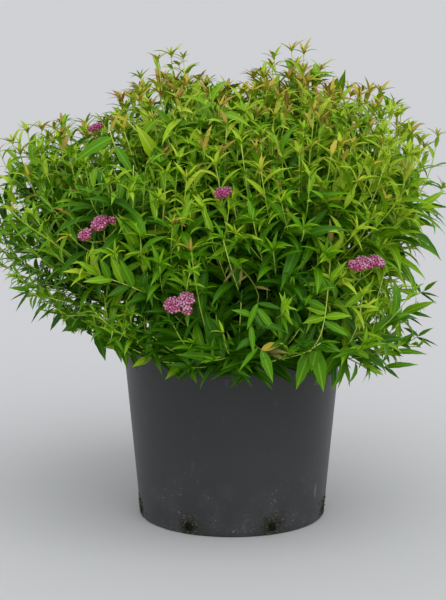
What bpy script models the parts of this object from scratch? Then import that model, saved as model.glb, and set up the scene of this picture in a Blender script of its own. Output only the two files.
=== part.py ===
"""A flowering spirea shrub in a round nursery pot, built as the real plant grows.

A short woody stool stands on the potting mix. Bark-covered canes fan out from its top, and each
cane ends in one mass of foliage: a stem that branches into twigs, with leaves and a few flat
flower heads fused on. Metres, +Z up, origin in the middle of the pot's flat underside, and the
side that faces the viewer looks along -Y.
"""

import itertools
import math
import random

import bmesh
import bpy
from mathutils import Matrix, Vector
from mathutils.bvhtree import BVHTree

# Pot, a turned plastic shell
POT_HEIGHT = 0.230
POT_TOP_RADIUS = 0.1370
POT_BASE_RADIUS = 0.1205
POT_WALL = 0.0024
POT_FLOOR = 0.0030
POT_EDGE = 0.0030
POT_STEPS = 36
RIM_HEIGHT = 0.018
RIM_PROUD = 0.0030
DRAIN_HOLES = 7
DRAIN_RADIUS = 0.0055
DRAIN_HEIGHT = 0.0110
DRAIN_SIDES = 10
DRAIN_FIRST = math.radians(-117.0)

# Potting mix, a solid plug a little below the rim
FIT_GAP = 0.0003
SOIL_BELOW_RIM = 0.026
SOIL_LEVEL = POT_HEIGHT - SOIL_BELOW_RIM
SOIL_STEPS = 28

# Stool, the woody foot that the canes spring from
STOOL_RADIUS = 0.030
STOOL_FLARE = 0.013
STOOL_HEIGHT = 0.036
STOOL_RINGS = 5
STOOL_STEPS = 20
ROOT_LOBES = 5
LOBE_DEPTH = 0.10
STOOL_MIDDLE = Vector((0.0, 0.0, SOIL_LEVEL + FIT_GAP + STOOL_HEIGHT - STOOL_RADIUS))

# Crown, a squarish dome that hangs over the rim: it is more pointed on its left than on its right
CROWN_CENTRE = Vector((-0.018, 0.0, 0.357))
CROWN_HALF_WIDTH = 0.292
CROWN_HALF_DEPTH = 0.280
CROWN_RISE = 0.226
CROWN_DROP = 0.178
CROWN_SQUARENESS = 2.35
CROWN_LEAN = 0.50
OUTLINE_STEPS = 26

# Tiers of canes and of the masses that they carry: how many, the bearing of the first, how high
# the mass sits seen from the stool, how steeply the cane leaves the stool, and its foot radius
TIERS = {
    "skirt": {"count": 8, "first": -90.0, "rise": 13.0, "start": 27.0, "foot": 0.0045},
    "shoulder": {"count": 6, "first": -68.0, "rise": 43.0, "start": 53.0, "foot": 0.0048},
    "top": {"count": 3, "first": 12.0, "rise": 75.0, "start": 77.0, "foot": 0.0042},
}
CANE_TIP_RADIUS = 0.0031
CANE_RESOLUTION = 1
CANE_POINTS = 5
CANE_SHARE = 0.46
CANE_LIFT = 0.45

# Stems and twigs of the masses, the two tallest stems first
STEM_SHARE = 0.80
LEADER_SHARES = {"top_1": 0.96, "top_2": 0.93}
STEM_RADIUS = 0.0029
STEM_TIP_RADIUS = 0.0016
STEM_RESOLUTION = 0
STEM_POINTS = 4
STEM_SWEEP = 0.4
TWIG_SHELLS = {
    "outer": {"tips": 100, "short_of_outline": 0.050},
    "inner": {"tips": 28, "short_of_outline": 0.105},
}
TWIG_LOWEST = math.radians(-14.0)
TWIG_SPREAD = 0.014
TWIG_SPRING = math.radians(38.0)
TWIG_FOOT_SHARES = (0.04, 0.92)
TWIG_SWEEP = 0.25
TWIG_RADIUS = 0.0023
TWIG_TIP_RADIUS = 0.0013
TWIG_SIDES = 3
TWIG_POINTS = 3
TWIG_SHORTEST = 0.035
TWIG_PULLS = (0.0, 0.1, 0.2, 0.3)

# Leaves, larger than life because they stand for many
LEAVES_PER_TWIG = 5
LEAVES_PER_STEM = 3
LEAVES_UNDER_BLOOM = 3
LEAF_LENGTH = 0.094
LEAF_WIDTH = 0.0260
LEAF_THICKNESS = 0.0034
LEAF_WIDEST = 0.42
LEAF_FOLD = 0.9
LEAF_SUNK = 0.0004
LEAF_OPEN = math.radians(58.0)
LEAF_CLOSED = math.radians(20.0)
LEAF_TIP_SHRINK = 0.32
LEAF_SIZES = (0.88, 1.10)
BARE_TWIG_SHARE = 0.36
BARE_STEM_SHARE = 0.70
LAST_LEAF_SHARE = 0.985
TURN_PER_LEAF = math.radians(137.5)
TO_LIGHT = 0.7
LEAF_SWINGS = tuple(math.radians(swing) for swing in (0, 30, -30, 60, -60, 95, -95))
LEAF_SHRINKS = (1.0, 0.72)

# Space that a mass keeps to its neighbours, to the canes and to the pot
CELL_CLEARANCE = 0.0005
LIMB_CLEARANCE = 0.0045
POT_CLEARANCE = 0.0045

# Flower heads: across, height and side (-1 faces the viewer) of each on the crown's surface
BLOOMS = (
    (-0.158, 0.417, -1),
    (-0.015, 0.457, -1),
    (-0.064, 0.330, -1),
    (0.156, 0.372, -1),
    (-0.165, 0.515, -1),
    (0.176, 0.402, 1),
    (-0.090, 0.320, 1),
    (0.020, 0.500, 1),
)
BLOOM_RADIUS = 0.025
BLOOM_THICKNESS = 0.016
BLOOM_FLATNESS = 0.6
BLOOM_BELOW_OUTLINE = 0.955
BLOOM_ROOM = 0.040

SEED = 11
WELD = 1e-6
UP = Vector((0.0, 0.0, 1.0))

COLOURS = {
    "pot": ((0.042, 0.043, 0.044), 0.42),
    "potting_mix": ((0.045, 0.028, 0.018), 0.95),
    "bark": ((0.170, 0.100, 0.060), 0.85),
    "foliage": ((0.115, 0.235, 0.022), 0.50),
}


def clear_scene():
    for obj in list(bpy.data.objects):
        bpy.data.objects.remove(obj, do_unlink=True)


def collection_named(name):
    made = bpy.data.collections.new(name)
    bpy.context.scene.collection.children.link(made)
    return made


def material_named(name):
    colour, roughness = COLOURS[name]
    material = bpy.data.materials.new(name)
    material.use_nodes = True
    shader = material.node_tree.nodes["Principled BSDF"]
    shader.inputs["Base Color"].default_value = (*colour, 1.0)
    shader.inputs["Roughness"].default_value = roughness
    shader.inputs["Metallic"].default_value = 0.0
    material.diffuse_color = (*colour, 1.0)
    return material


def add_object(name, data, collection, location=(0.0, 0.0, 0.0)):
    obj = bpy.data.objects.new(name, data)
    obj.location = location
    collection.objects.link(obj)
    return obj


def as_guide(obj):
    """Marks a cutter or a section, which only shapes other pieces."""
    obj.hide_render = True
    obj.display_type = "WIRE"
    return obj


def evaluated(obj):
    """The mesh that the object's curve or modifiers give."""
    bpy.context.view_layer.update()
    graph = bpy.context.evaluated_depsgraph_get()
    return bpy.data.meshes.new_from_object(obj.evaluated_get(graph))


def baked(obj):
    """The object's evaluated mesh with its loose caps welded on."""
    mesh = evaluated(obj)
    bm = bmesh.new()
    bm.from_mesh(mesh)
    bmesh.ops.remove_doubles(bm, verts=bm.verts, dist=WELD)
    bmesh.ops.recalc_face_normals(bm, faces=bm.faces)
    bm.to_mesh(mesh)
    bm.free()
    return mesh


def turned(name, profile, steps, collection):
    """A profile of (radius, height) points turned round the Z axis."""
    mesh = bpy.data.meshes.new(name)
    bm = bmesh.new()
    verts = [bm.verts.new((radius, 0.0, height)) for radius, height in profile]
    for first, second in zip(verts, verts[1:]):
        bm.edges.new((first, second))
    bm.to_mesh(mesh)
    bm.free()
    obj = add_object(name, mesh, collection)
    screw = obj.modifiers.new("turn", "SCREW")
    screw.axis = "Z"
    screw.steps = steps
    screw.render_steps = steps
    screw.use_merge_vertices = True
    screw.merge_threshold = 1e-5
    screw.use_smooth_shade = True
    return obj


# Pot and potting mix

def wall_radius(height):
    """Outer radius of the pot's plain wall at a height."""
    return POT_BASE_RADIUS + (POT_TOP_RADIUS - POT_BASE_RADIUS) * height / POT_HEIGHT


def pot_profile():
    """From the middle of the inside floor, up the inside, over the rim, and down to the underside."""
    rim_foot = POT_HEIGHT - RIM_HEIGHT
    rim_radius = POT_TOP_RADIUS + RIM_PROUD
    inside_top = POT_TOP_RADIUS - POT_WALL
    rim_round = POT_WALL / 2
    return [
        (0.0, POT_FLOOR),
        (wall_radius(POT_FLOOR) - POT_WALL, POT_FLOOR),
        (inside_top, POT_HEIGHT - rim_round),
        (inside_top + rim_round, POT_HEIGHT),
        (rim_radius - rim_round, POT_HEIGHT),
        (rim_radius, POT_HEIGHT - rim_round),
        (rim_radius - RIM_PROUD / 4, rim_foot),
        (wall_radius(rim_foot), rim_foot - RIM_PROUD / 2),
        (wall_radius(POT_EDGE), POT_EDGE),
        (POT_BASE_RADIUS - POT_EDGE / 3, POT_EDGE / 3),
        (POT_BASE_RADIUS - POT_EDGE, 0.0),
        (0.0, 0.0),
    ]


def make_drain_cutter(number, collection):
    """A short rod that pierces the foot of the wall."""
    bearing = DRAIN_FIRST + number * math.tau / DRAIN_HOLES
    mesh = bpy.data.meshes.new(f"drain_cutter_{number + 1}")
    bm = bmesh.new()
    bmesh.ops.create_cone(
        bm, cap_ends=True, segments=DRAIN_SIDES, radius1=DRAIN_RADIUS, radius2=DRAIN_RADIUS,
        depth=POT_WALL * 6,
    )
    bm.to_mesh(mesh)
    bm.free()
    outward = heading_of(bearing, 0.0)
    middle = outward * (wall_radius(DRAIN_HEIGHT) - POT_WALL / 2) + UP * DRAIN_HEIGHT
    cutter = as_guide(add_object(mesh.name, mesh, collection, middle))
    cutter.rotation_mode = "QUATERNION"
    cutter.rotation_quaternion = outward.to_track_quat("Z", "Y")


def make_pot(parts, cutters):
    pot = turned("pot", pot_profile(), POT_STEPS, parts)
    for number in range(DRAIN_HOLES):
        make_drain_cutter(number, cutters)
    holes = pot.modifiers.new("drain_holes", "BOOLEAN")
    holes.operation = "DIFFERENCE"
    holes.operand_type = "COLLECTION"
    holes.collection = cutters
    holes.solver = "EXACT"
    return pot


def make_potting_mix(parts):
    """The plug of compost fills the pot, a fit gap clear of the wall and of the floor."""
    clear = POT_WALL + FIT_GAP * 2
    foot = POT_FLOOR + FIT_GAP
    profile = [
        (0.0, SOIL_LEVEL),
        (wall_radius(SOIL_LEVEL) - clear, SOIL_LEVEL),
        (wall_radius(foot) - clear, foot),
        (0.0, foot),
    ]
    return turned("potting_mix", profile, SOIL_STEPS, parts)


# Stool and canes

def stool_profile():
    """A dome, with a foot that flares where it meets the compost."""
    ground = SOIL_LEVEL + FIT_GAP
    lifts = [math.pi / 2 * (1 - ring / STOOL_RINGS) for ring in range(STOOL_RINGS + 1)]
    dome = [
        (STOOL_RADIUS * math.cos(lift), STOOL_MIDDLE.z + STOOL_RADIUS * math.sin(lift))
        for lift in lifts
    ]
    return dome + [(STOOL_RADIUS + STOOL_FLARE, ground), (0.0, ground)]


def make_stool(parts):
    """The turned foot, with its flare drawn out into a few root lobes."""
    blank = turned("stool_blank", stool_profile(), STOOL_STEPS, parts)
    mesh = baked(blank)
    mesh.name = "stool"
    bpy.data.objects.remove(blank, do_unlink=True)
    for vertex in mesh.vertices:
        if vertex.co.z < STOOL_MIDDLE.z - FIT_GAP:
            bearing = math.atan2(vertex.co.y, vertex.co.x)
            swell = 1.0 + LOBE_DEPTH * math.cos(ROOT_LOBES * bearing)
            vertex.co.x *= swell
            vertex.co.y *= swell
    mesh.shade_smooth()
    return add_object("stool", mesh, parts)


def outline_value(point):
    """Under 1 inside the crown's outline, over 1 outside it."""
    offset = point - CROWN_CENTRE
    rise = CROWN_RISE if offset.z > 0.0 else CROWN_DROP
    halves = (CROWN_HALF_WIDTH, CROWN_HALF_DEPTH, rise)
    squareness = CROWN_SQUARENESS + CROWN_LEAN * offset.x / max(math.hypot(offset.x, offset.y), WELD)
    return sum(abs(offset[axis] / halves[axis]) ** squareness for axis in range(3))


def outline_distance(start, step):
    """How far the crown's outline lies from a start inside it, counted in steps."""
    near, far = 0.0, 1.0
    for _ in range(OUTLINE_STEPS):
        middle = (near + far) / 2
        if outline_value(start + step * middle) < 1.0:
            near = middle
        else:
            far = middle
    return near


def reach(heading):
    """How far the crown's outline lies from the stool along a heading."""
    return outline_distance(STOOL_MIDDLE, heading)


def heading_of(bearing, rise):
    return Vector((
        math.cos(bearing) * math.cos(rise),
        math.sin(bearing) * math.cos(rise),
        math.sin(rise),
    ))


def mass_places():
    """For each mass its heading, the heading at which its cane leaves the stool, and foot radius."""
    places = {}
    for tier, sizes in TIERS.items():
        for number in range(sizes["count"]):
            bearing = math.radians(sizes["first"] + number * 360.0 / sizes["count"])
            places[f"{tier}_{number + 1}"] = {
                "heading": heading_of(bearing, math.radians(sizes["rise"])),
                "start": heading_of(bearing, math.radians(sizes["start"])),
                "foot": sizes["foot"],
            }
    return places


def bowed(start, control, end, count):
    """Points along a curve that leaves start towards control and arrives at end."""
    shares = [step / (count - 1) for step in range(count)]
    return [
        start * (1 - share) ** 2 + control * (2 * share * (1 - share)) + end * share ** 2
        for share in shares
    ]


def make_section(guides):
    """A three-sided outline of radius 1, which a twig's curve carries along itself."""
    curve = bpy.data.curves.new("twig_section", "CURVE")
    curve.dimensions = "2D"
    spline = curve.splines.new("POLY")
    spline.points.add(TWIG_SIDES - 1)
    for number, point in enumerate(spline.points):
        turn = number * math.tau / TWIG_SIDES
        point.co = (math.cos(turn), math.sin(turn), 0.0, 1.0)
    spline.use_cyclic_u = True
    return as_guide(add_object("twig_section", curve, guides))


def limb(name, path, foot_radius, tip_radius, collection, resolution=CANE_RESOLUTION, section=None):
    """One tapering limb with filled ends and its origin at its foot: round, or of another section."""
    curve = bpy.data.curves.new(name, "CURVE")
    curve.dimensions = "3D"
    curve.use_fill_caps = True
    if section:
        curve.bevel_mode = "OBJECT"
        curve.bevel_object = section
    else:
        curve.bevel_depth = 1.0
        curve.bevel_resolution = resolution
    spline = curve.splines.new("POLY")
    spline.points.add(len(path) - 1)
    for number, (point, place) in enumerate(zip(spline.points, path)):
        share = number / (len(path) - 1)
        point.co = (*(place - path[0]), 1.0)
        point.radius = foot_radius + (tip_radius - foot_radius) * share
    return add_object(name, curve, collection, path[0])


def make_canes(places, parts):
    """One bark-covered cane for each mass, from the stool's dome to where it enters the mass."""
    for name, place in places.items():
        start = STOOL_MIDDLE + place["start"] * (STOOL_RADIUS + FIT_GAP)
        end = STOOL_MIDDLE + place["heading"] * (reach(place["heading"]) * CANE_SHARE)
        control = start + place["start"] * ((end - start).length * CANE_LIFT)
        path = bowed(start, control, end, CANE_POINTS)
        place["cane_tip"] = end
        place["cane_heading"] = (path[-1] - path[-2]).normalized()
        place["cane"] = limb(f"cane_{name}", path, place["foot"], CANE_TIP_RADIUS, parts)


# Shapes that the masses repeat

def leaf_mesh():
    """A blade 1 long, 1 wide and 1 thick: eight faces, gently folded along its middle."""
    bm = bmesh.new()
    bmesh.ops.create_uvsphere(bm, u_segments=4, v_segments=2, radius=0.5)
    bmesh.ops.rotate(bm, verts=bm.verts, cent=(0, 0, 0), matrix=Matrix.Rotation(-math.pi / 2, 3, "X"))
    bmesh.ops.translate(bm, verts=bm.verts, vec=(0.0, 0.5, 0.0))
    for vertex in bm.verts:
        if WELD < vertex.co.y < 1.0 - WELD:
            vertex.co.y = LEAF_WIDEST
            vertex.co.z += LEAF_FOLD * abs(vertex.co.x) * 2
    mesh = bpy.data.meshes.new("leaf")
    bmesh.ops.recalc_face_normals(bm, faces=bm.faces)
    bm.to_mesh(mesh)
    bm.free()
    return mesh


def bloom_mesh():
    """A flat-topped head of small flowers, 1 across, standing on its middle."""
    bm = bmesh.new()
    bmesh.ops.create_uvsphere(bm, u_segments=8, v_segments=4, radius=0.5)
    under = [vertex for vertex in bm.verts if vertex.co.z < 0.0]
    bmesh.ops.scale(bm, verts=under, vec=(1.0, 1.0, BLOOM_FLATNESS))
    mesh = bpy.data.meshes.new("bloom")
    bm.to_mesh(mesh)
    bm.free()
    return mesh


def across(heading, turn):
    """A direction at right angles to a heading, turned round it."""
    side = heading.cross(UP)
    if side.length < WELD:
        side = Vector((1.0, 0.0, 0.0))
    return Matrix.Rotation(turn, 3, heading) @ side.normalized()


def frame_of(along, facing, at, size):
    """Placing of a unit shape: its Y axis along, its Z axis as near to facing as it can be."""
    side = along.cross(facing).normalized()
    normal = side.cross(along).normalized()
    axes = Matrix((side * size[0], along * size[1], normal * size[2])).transposed()
    return Matrix.Translation(at) @ axes.to_4x4()


def leaf_frame(at, heading, turn, opening, size):
    """A leaf leaves its twig at an angle, and its upper face looks along the twig and to the sky."""
    out = across(heading, turn)
    along = (heading * math.cos(opening) + out * math.sin(opening)).normalized()
    facing = heading * math.sin(opening) - out * math.cos(opening) + UP * TO_LIGHT
    if along.cross(facing).length < 0.2:
        facing += out
    scale = (LEAF_WIDTH * size, LEAF_LENGTH * size, LEAF_THICKNESS * size)
    return frame_of(along, facing, at - along * LEAF_SUNK, scale)


def leaf_samples(frame):
    """Points over a leaf, close enough that nothing passes between them."""
    middle = [frame @ Vector((0.0, share, 0.0)) for share in (0.15, 0.3, 0.55, 0.7, 0.85, 1.0)]
    edges = [frame @ Vector((side, LEAF_WIDEST, LEAF_FOLD)) for side in (-0.5, 0.5)]
    return middle + edges


def tree_under(mesh, matrix):
    """A search tree over a mesh's surface as a matrix places it."""
    points = [matrix @ vertex.co for vertex in mesh.vertices]
    return BVHTree.FromPolygons(points, [tuple(face.vertices) for face in mesh.polygons])


# Space of a mass

def stays_in_cell(points, name, places):
    """Whether points stay in the cone of space that is nearer to this mass than to any other."""
    own = places[name]["heading"]
    for other, place in places.items():
        if other == name:
            continue
        wall = (own - place["heading"]).normalized()
        if any((point - STOOL_MIDDLE).dot(wall) < CELL_CLEARANCE for point in points):
            return False
    return True


def is_clear_of_pot(point):
    """Whether a point keeps its distance from the pot, and stays out of it."""
    outside = math.hypot(point.x, point.y) > POT_TOP_RADIUS + RIM_PROUD + POT_CLEARANCE
    return outside or point.z > POT_HEIGHT + POT_CLEARANCE


def nearest_mass(heading, places):
    return max(places, key=lambda name: places[name]["heading"].dot(heading))


def along_path(path, share):
    """Point and heading at a share of the way along a path of evenly spaced points."""
    place = share * (len(path) - 1)
    step = min(int(place), len(path) - 2)
    heading = path[step + 1] - path[step]
    return path[step] + heading * (place - step), heading.normalized()


def twig_path(stem, target):
    """A twig leaves the stem low enough to part from it at its own angle, and bends outwards."""
    stem_run = stem[-1] - stem[0]
    stem_heading = stem_run.normalized()
    offset = target - stem[0]
    beside = offset - stem_heading * offset.dot(stem_heading)
    height = offset.dot(stem_heading) - beside.length / math.tan(TWIG_SPRING)
    lowest, highest = TWIG_FOOT_SHARES
    start, heading = along_path(stem, min(highest, max(lowest, height / stem_run.length)))
    run = target - start
    control = start + heading * (run.length * TWIG_SWEEP) + run * TWIG_SWEEP
    return bowed(start, control, target, TWIG_POINTS)


class Mass:
    """One mass of foliage: a stem, and the twigs, leaves and flower heads to be fused on it."""

    def __init__(self, name, places, canes, parts, section):
        self.name = name
        self.places = places
        self.canes = canes
        self.section = section
        self.shapes = {"leaf": leaf_mesh(), "bloom": bloom_mesh()}
        self.random = random.Random(f"{SEED}{name}")
        self.helpers = collection_named(f"helpers_{name}")
        self.surfaces = []
        self.leaves = 0
        self.path = self.stem_path()
        self.stem = self.make_stem(parts)

    def stem_path(self):
        """The stem goes on from the cane's tip, a fit gap clear of it, to near the outline."""
        place = self.places[self.name]
        start = place["cane_tip"] + place["cane_heading"] * FIT_GAP
        share = LEADER_SHARES.get(self.name, STEM_SHARE)
        end = STOOL_MIDDLE + place["heading"] * (reach(place["heading"]) * share)
        control = start + place["cane_heading"] * ((end - start).length * STEM_SWEEP)
        return bowed(start, control, end, STEM_POINTS)

    def make_stem(self, parts):
        node = f"foliage_{self.name}"
        curve = limb(node, self.path, STEM_RADIUS, STEM_TIP_RADIUS, parts, STEM_RESOLUTION)
        mesh = baked(curve)
        bpy.data.objects.remove(curve, do_unlink=True)
        self.surfaces.append(tree_under(mesh, Matrix.Translation(self.path[0])))
        return add_object(node, mesh, parts, self.path[0])

    def helper(self, mesh, matrix):
        obj = add_object(f"{self.name}_{mesh.name}", mesh, self.helpers)
        obj.matrix_world = matrix
        self.surfaces.append(tree_under(mesh, matrix))

    def fits(self, points):
        """Whether points keep to the mass's own space, clear of the pot and of the canes."""
        return (
            stays_in_cell(points, self.name, self.places)
            and all(is_clear_of_pot(point) for point in points)
            and all(self.canes.find_nearest(point)[3] > LIMB_CLEARANCE for point in points)
        )

    def is_free(self, frame, own):
        """Whether a leaf would cross nothing in the mass but the twig that carries it."""
        tree = tree_under(self.shapes["leaf"], frame)
        return not any(tree.overlap(other) for other in self.surfaces if other is not own)

    def add_leaves(self, path, bare_share, count):
        """Leaves spiral up the outer part of a twig, wide open low down and closed at its tip."""
        turn = self.random.uniform(0.0, math.tau)
        own = self.surfaces[-1]
        for number in range(count):
            rise = number / (count - 1)
            at, heading = along_path(path, bare_share + (LAST_LEAF_SHARE - bare_share) * rise)
            opening = LEAF_OPEN + (LEAF_CLOSED - LEAF_OPEN) * rise ** 1.5
            size = (1.0 - LEAF_TIP_SHRINK * rise) * self.random.uniform(*LEAF_SIZES)
            for shrink, swing in itertools.product(LEAF_SHRINKS, LEAF_SWINGS):
                frame = leaf_frame(at, heading, turn + swing, opening, size * shrink)
                if self.fits(leaf_samples(frame)) and self.is_free(frame, own):
                    self.helper(self.shapes["leaf"], frame)
                    self.leaves += 1
                    break
            turn += TURN_PER_LEAF

    def add_twig(self, path):
        """A three-sided twig, made a mesh so that it can be fused. Its foot starts inside the stem."""
        curve = limb("twig", path, TWIG_RADIUS, TWIG_TIP_RADIUS, self.helpers, section=self.section)
        mesh = baked(curve)
        mesh.name = "twig"
        bpy.data.objects.remove(curve, do_unlink=True)
        self.helper(mesh, Matrix.Translation(path[0]))

    def grow_twig(self, target, leaves=LEAVES_PER_TWIG):
        """Grows a leafy twig to a target, or as near it as keeps to the mass's own space."""
        middle = STOOL_MIDDLE + self.places[self.name]["heading"] * (target - STOOL_MIDDLE).length
        for pull in TWIG_PULLS:
            path = twig_path(self.path, target.lerp(middle, pull))
            if (path[-1] - path[0]).length > TWIG_SHORTEST and self.fits(path[1:]):
                self.add_twig(path)
                self.add_leaves(path, BARE_TWIG_SHARE, leaves)
                return path
        return None

    def add_bloom(self, path):
        """A flat flower head on the end of a twig."""
        at, heading = along_path(path, 1.0)
        facing = (heading + UP).normalized()
        size = (2 * BLOOM_RADIUS, 2 * BLOOM_RADIUS, BLOOM_THICKNESS)
        self.helper(self.shapes["bloom"], frame_of(across(facing, 0.0), facing, at, size))

    def fuse(self):
        """Joins everything on the stem by one union, and keeps the one whole shell."""
        union = self.stem.modifiers.new("fuse", "BOOLEAN")
        union.operation = "UNION"
        union.operand_type = "COLLECTION"
        union.collection = self.helpers
        for solver in ("EXACT", "MANIFOLD"):
            union.solver = solver
            mesh = largest_shell(evaluated(self.stem))
            if is_closed(mesh):
                break
        self.stem.modifiers.remove(union)
        mesh.name = self.stem.name
        self.stem.data = mesh
        for obj in list(self.helpers.objects):
            bpy.data.objects.remove(obj, do_unlink=True)
        bpy.data.collections.remove(self.helpers)


# Clean-up after a union

def shells_of(bm):
    """The connected groups of faces of a mesh."""
    unseen = set(bm.faces)
    while unseen:
        waiting = [unseen.pop()]
        shell = list(waiting)
        while waiting:
            face = waiting.pop()
            linked = {other for edge in face.edges for other in edge.link_faces} & unseen
            unseen -= linked
            shell.extend(linked)
            waiting.extend(linked)
        yield shell


def extent(shell):
    """Width, depth and height of a shell's box, added up."""
    places = [vertex.co for face in shell for vertex in face.verts]
    return sum(max(co[axis] for co in places) - min(co[axis] for co in places) for axis in range(3))


def largest_shell(mesh):
    """Drops loose scraps, and fills the hollows that fusing sealed, by keeping the outer shell."""
    bm = bmesh.new()
    bm.from_mesh(mesh)
    shells = sorted(shells_of(bm), key=extent)
    spare = [face for shell in shells[:-1] for face in shell]
    bmesh.ops.delete(bm, geom=spare, context="FACES")
    loose = [vertex for vertex in bm.verts if not vertex.link_faces]
    bmesh.ops.delete(bm, geom=loose, context="VERTS")
    bmesh.ops.triangulate(bm, faces=bm.faces)
    bm.to_mesh(mesh)
    bm.free()
    return mesh


def is_closed(mesh):
    """Whether every edge of a mesh joins exactly two faces."""
    bm = bmesh.new()
    bm.from_mesh(mesh)
    closed = all(edge.is_manifold for edge in bm.edges)
    bm.free()
    return closed


def tree_of(objects):
    """A search tree over the surfaces of some objects."""
    bm = bmesh.new()
    for obj in objects:
        mesh = baked(obj)
        mesh.transform(obj.matrix_world)
        bm.from_mesh(mesh)
        bpy.data.meshes.remove(mesh)
    tree = BVHTree.FromBMesh(bm)
    bm.free()
    return tree


# Foliage

def bloom_target(place_across, height, side):
    """Where a flower head sits, from how far across and how high it lies on the crown's outline."""
    start = Vector((place_across, 0.0, height))
    depth = outline_distance(start, Vector((0.0, side, 0.0)))
    on_outline = Vector((place_across, side * depth, height))
    return STOOL_MIDDLE.lerp(on_outline, BLOOM_BELOW_OUTLINE)


def grow_blooms(masses, places):
    """Grows the twigs that carry flower heads first, so that their places are free."""
    targets = [bloom_target(*bloom) for bloom in BLOOMS]
    for target in targets:
        mass = masses[nearest_mass((target - STOOL_MIDDLE).normalized(), places)]
        path = mass.grow_twig(target, LEAVES_UNDER_BLOOM)
        if path:
            mass.add_bloom(path)
    return targets


def spread_headings(count):
    """Evenly spread headings over the crown, by the golden angle."""
    lowest = math.sin(TWIG_LOWEST)
    for number in range(count):
        height = lowest + (1.0 - lowest) * (number + 0.5) / count
        yield heading_of(number * TURN_PER_LEAF, math.asin(height))


def grow_twigs(masses, places, kept_free):
    """Fills the crown with leafy twigs in two shells, each in the mass whose space it ends in."""
    spread = random.Random(SEED)
    for shell in TWIG_SHELLS.values():
        for heading in spread_headings(shell["tips"]):
            short = shell["short_of_outline"] + spread.uniform(-TWIG_SPREAD, TWIG_SPREAD)
            target = STOOL_MIDDLE + heading * (reach(heading) - short)
            if all((target - place).length > BLOOM_ROOM for place in kept_free):
                masses[nearest_mass(heading, places)].grow_twig(target)


def make_foliage(places, parts, section):
    canes = tree_of([place["cane"] for place in places.values()])
    masses = {name: Mass(name, places, canes, parts, section) for name in places}
    for mass in masses.values():
        mass.add_leaves(mass.path, BARE_STEM_SHARE, LEAVES_PER_STEM)
    kept_free = grow_blooms(masses, places)
    grow_twigs(masses, places, kept_free)
    for mass in masses.values():
        mass.fuse()
    print("leaves", sum(mass.leaves for mass in masses.values()))
    return [mass.stem for mass in masses.values()]


def finish(parts, groups):
    """Gives each piece its material and hangs them all on one empty at the origin."""
    root = add_object("plant_centre", None, parts)
    for material_name, objects in groups.items():
        material = material_named(material_name)
        for obj in objects:
            obj.data.materials.clear()
            obj.data.materials.append(material)
            obj.parent = root


def main():
    clear_scene()
    parts = collection_named("potted_spirea")
    cutters = collection_named("drain_cutters")
    guides = collection_named("guides")
    pot = make_pot(parts, cutters)
    mix = make_potting_mix(parts)
    stool = make_stool(parts)
    places = mass_places()
    make_canes(places, parts)
    canes = [place["cane"] for place in places.values()]
    foliage = make_foliage(places, parts, make_section(guides))
    finish(parts, {"pot": [pot], "potting_mix": [mix], "bark": [stool, *canes], "foliage": foliage})


main()
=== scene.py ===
# %% [markdown]
# # A flowering spirea in its nursery pot
#
# The plant is a rounded shrub about 0.6 m wide, in a plain dark pot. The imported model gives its
# construction: pot, potting mix, woody stool, canes and masses of foliage. This lesson gives each of
# them its surface. Everything is in metres, with the pot's underside in the middle of the floor and
# the side that faces the viewer looking along -Y.

# %% Load the frame
import itertools
import math
import random

import bmesh
import bpy
import numpy as np
from mathutils import Matrix, Vector, noise


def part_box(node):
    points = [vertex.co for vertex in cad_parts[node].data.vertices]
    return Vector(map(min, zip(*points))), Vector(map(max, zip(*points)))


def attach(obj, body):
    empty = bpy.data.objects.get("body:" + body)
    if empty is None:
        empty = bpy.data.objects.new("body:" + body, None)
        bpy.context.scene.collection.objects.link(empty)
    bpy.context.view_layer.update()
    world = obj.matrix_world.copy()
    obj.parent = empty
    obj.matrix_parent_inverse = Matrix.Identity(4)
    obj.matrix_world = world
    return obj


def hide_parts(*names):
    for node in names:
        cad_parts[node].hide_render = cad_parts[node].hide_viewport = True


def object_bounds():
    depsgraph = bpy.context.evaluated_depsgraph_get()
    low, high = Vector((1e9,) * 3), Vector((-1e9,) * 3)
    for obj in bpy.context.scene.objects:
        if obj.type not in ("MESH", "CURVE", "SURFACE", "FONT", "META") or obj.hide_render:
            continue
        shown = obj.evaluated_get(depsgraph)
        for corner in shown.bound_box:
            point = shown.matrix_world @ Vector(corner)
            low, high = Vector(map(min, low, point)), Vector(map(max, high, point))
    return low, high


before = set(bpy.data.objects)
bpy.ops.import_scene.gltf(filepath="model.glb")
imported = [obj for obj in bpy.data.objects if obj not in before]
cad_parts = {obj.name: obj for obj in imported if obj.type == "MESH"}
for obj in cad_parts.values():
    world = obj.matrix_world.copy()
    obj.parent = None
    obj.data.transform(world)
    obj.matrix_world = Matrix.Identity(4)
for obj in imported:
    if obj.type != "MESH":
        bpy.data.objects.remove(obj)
cad_low, cad_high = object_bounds()
UP = Vector((0.0, 0.0, 1.0))
TINY = 1e-6
print("nodes", len(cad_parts), "size", [round(side, 4) for side in cad_high - cad_low])

# %% [markdown]
# ## Three small helpers
#
# Colours are easiest to choose as the sRGB hex values that a paint chart gives, but shaders count in
# linear light, so one function turns them. A second adds a shader node with its fields and links. A
# third makes an object from a finished mesh, and ties it to the body that it moves with.

# %% Colour, node and piece helpers
def linear(hex_colour):
    """An sRGB hex colour as the linear colour that a shader takes."""
    parts = [int(hex_colour[place:place + 2], 16) / 255 for place in (1, 3, 5)]
    bent = [part / 12.92 if part <= 0.04045 else ((part + 0.055) / 1.055) ** 2.4 for part in parts]
    return (*bent, 1.0)


def add_node(tree, kind, inputs=None, **fields):
    """Adds a node. An input is a value, or a socket of another node to link."""
    node = tree.nodes.new(kind)
    for field, value in fields.items():
        setattr(node, field, value)
    for place, value in (inputs or {}).items():
        if isinstance(value, bpy.types.NodeSocket):
            tree.links.new(value, node.inputs[place])
        else:
            node.inputs[place].default_value = value
    return node


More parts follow.
